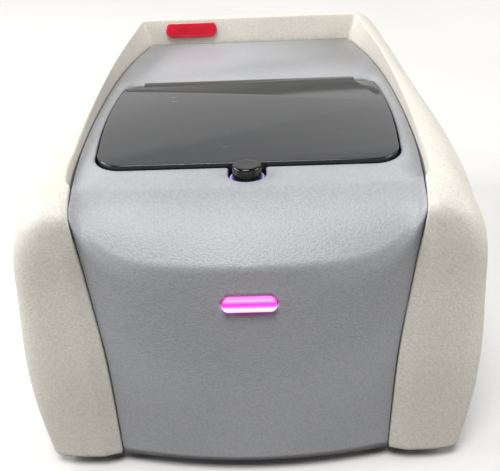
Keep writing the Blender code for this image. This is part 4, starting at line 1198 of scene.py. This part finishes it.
def makeSky():  # a bright band over the horizon, as of white walls, under a dim ceiling
    world = bpy.data.worlds.new("studio")
    world.use_nodes = True
    tree = world.node_tree
    sky = tree.nodes["Background"]
    sky.inputs["Color"].default_value = toLinear(studio["horizonColour"])
    facing = addNode(tree, "ShaderNodeTexCoord").outputs["Generated"]
    height = addNode(tree, "ShaderNodeSeparateXYZ", links={"Vector": facing}).outputs["Z"]
    share = remapped(tree, height, (-1.0, 1.0))
    ramp = addNode(tree, "ShaderNodeValToRGB", links={"Fac": share})
    band = ramp.color_ramp
    while len(band.elements) < len(studio["sky"]):
        band.elements.new(0.5)
    for element, (place, strength) in zip(band.elements, studio["sky"]):
        element.position, element.color = place, (strength, strength, strength, 1.0)
    tree.links.new(ramp.outputs["Color"], sky.inputs["Strength"])
    scene.world = world


def hangLight(name, lamp, place, backwards):  # backwards: the way from what it lights to the lamp
    holder = linkedObject(name, lamp)
    holder.location = place
    holder.rotation_euler = Vector(backwards).to_track_quat("Z", "Y").to_euler()


def makeLights():
    sun = bpy.data.lights.new("overheadLight", "SUN")
    sun.energy, sun.angle = studio["sunStrength"], radians(studio["sunAngle"])
    hangLight("overheadLight", sun, (0, 0, 0), studio["sunAt"])
    for name, (place, target, size, watts) in lights.items():
        lamp = bpy.data.lights.new(name, "AREA")
        lamp.shape = "RECTANGLE"
        lamp.size, lamp.size_y = size
        lamp.energy = watts
        hangLight(name, lamp, place, Vector(place) - Vector(target))


camera = {
    "at": (0.0093, -0.4811, 0.3063),  # metres
    "yaw": -1.44,           # degrees off straight ahead, down and over
    "down": 29.02,
    "roll": -2.34,
    "lens": 51.84,
}


def makeCamera():
    yaw, down, roll = radians(camera["yaw"]), radians(camera["down"]), radians(camera["roll"])
    ahead = Vector((sin(yaw) * cos(down), cos(yaw) * cos(down), -sin(down)))
    level = Vector((cos(yaw), -sin(yaw), 0))
    up = level.cross(ahead)
    right = cos(roll) * level + sin(roll) * up
    above = -sin(roll) * level + cos(roll) * up
    data = bpy.data.cameras.new("camera")
    data.lens, data.sensor_width = camera["lens"], 36.0
    data.clip_start, data.clip_end = 0.01, 50.0
    made = linkedObject("camera", data)
    made.matrix_world = Matrix((right, above, -ahead)).transposed().to_4x4()
    made.location = camera["at"]
    scene.camera = made


makeFloor()
makeSky()
makeLights()
makeCamera()
print("floor, lights and camera ready")
scene.view_settings.view_transform = "Standard"
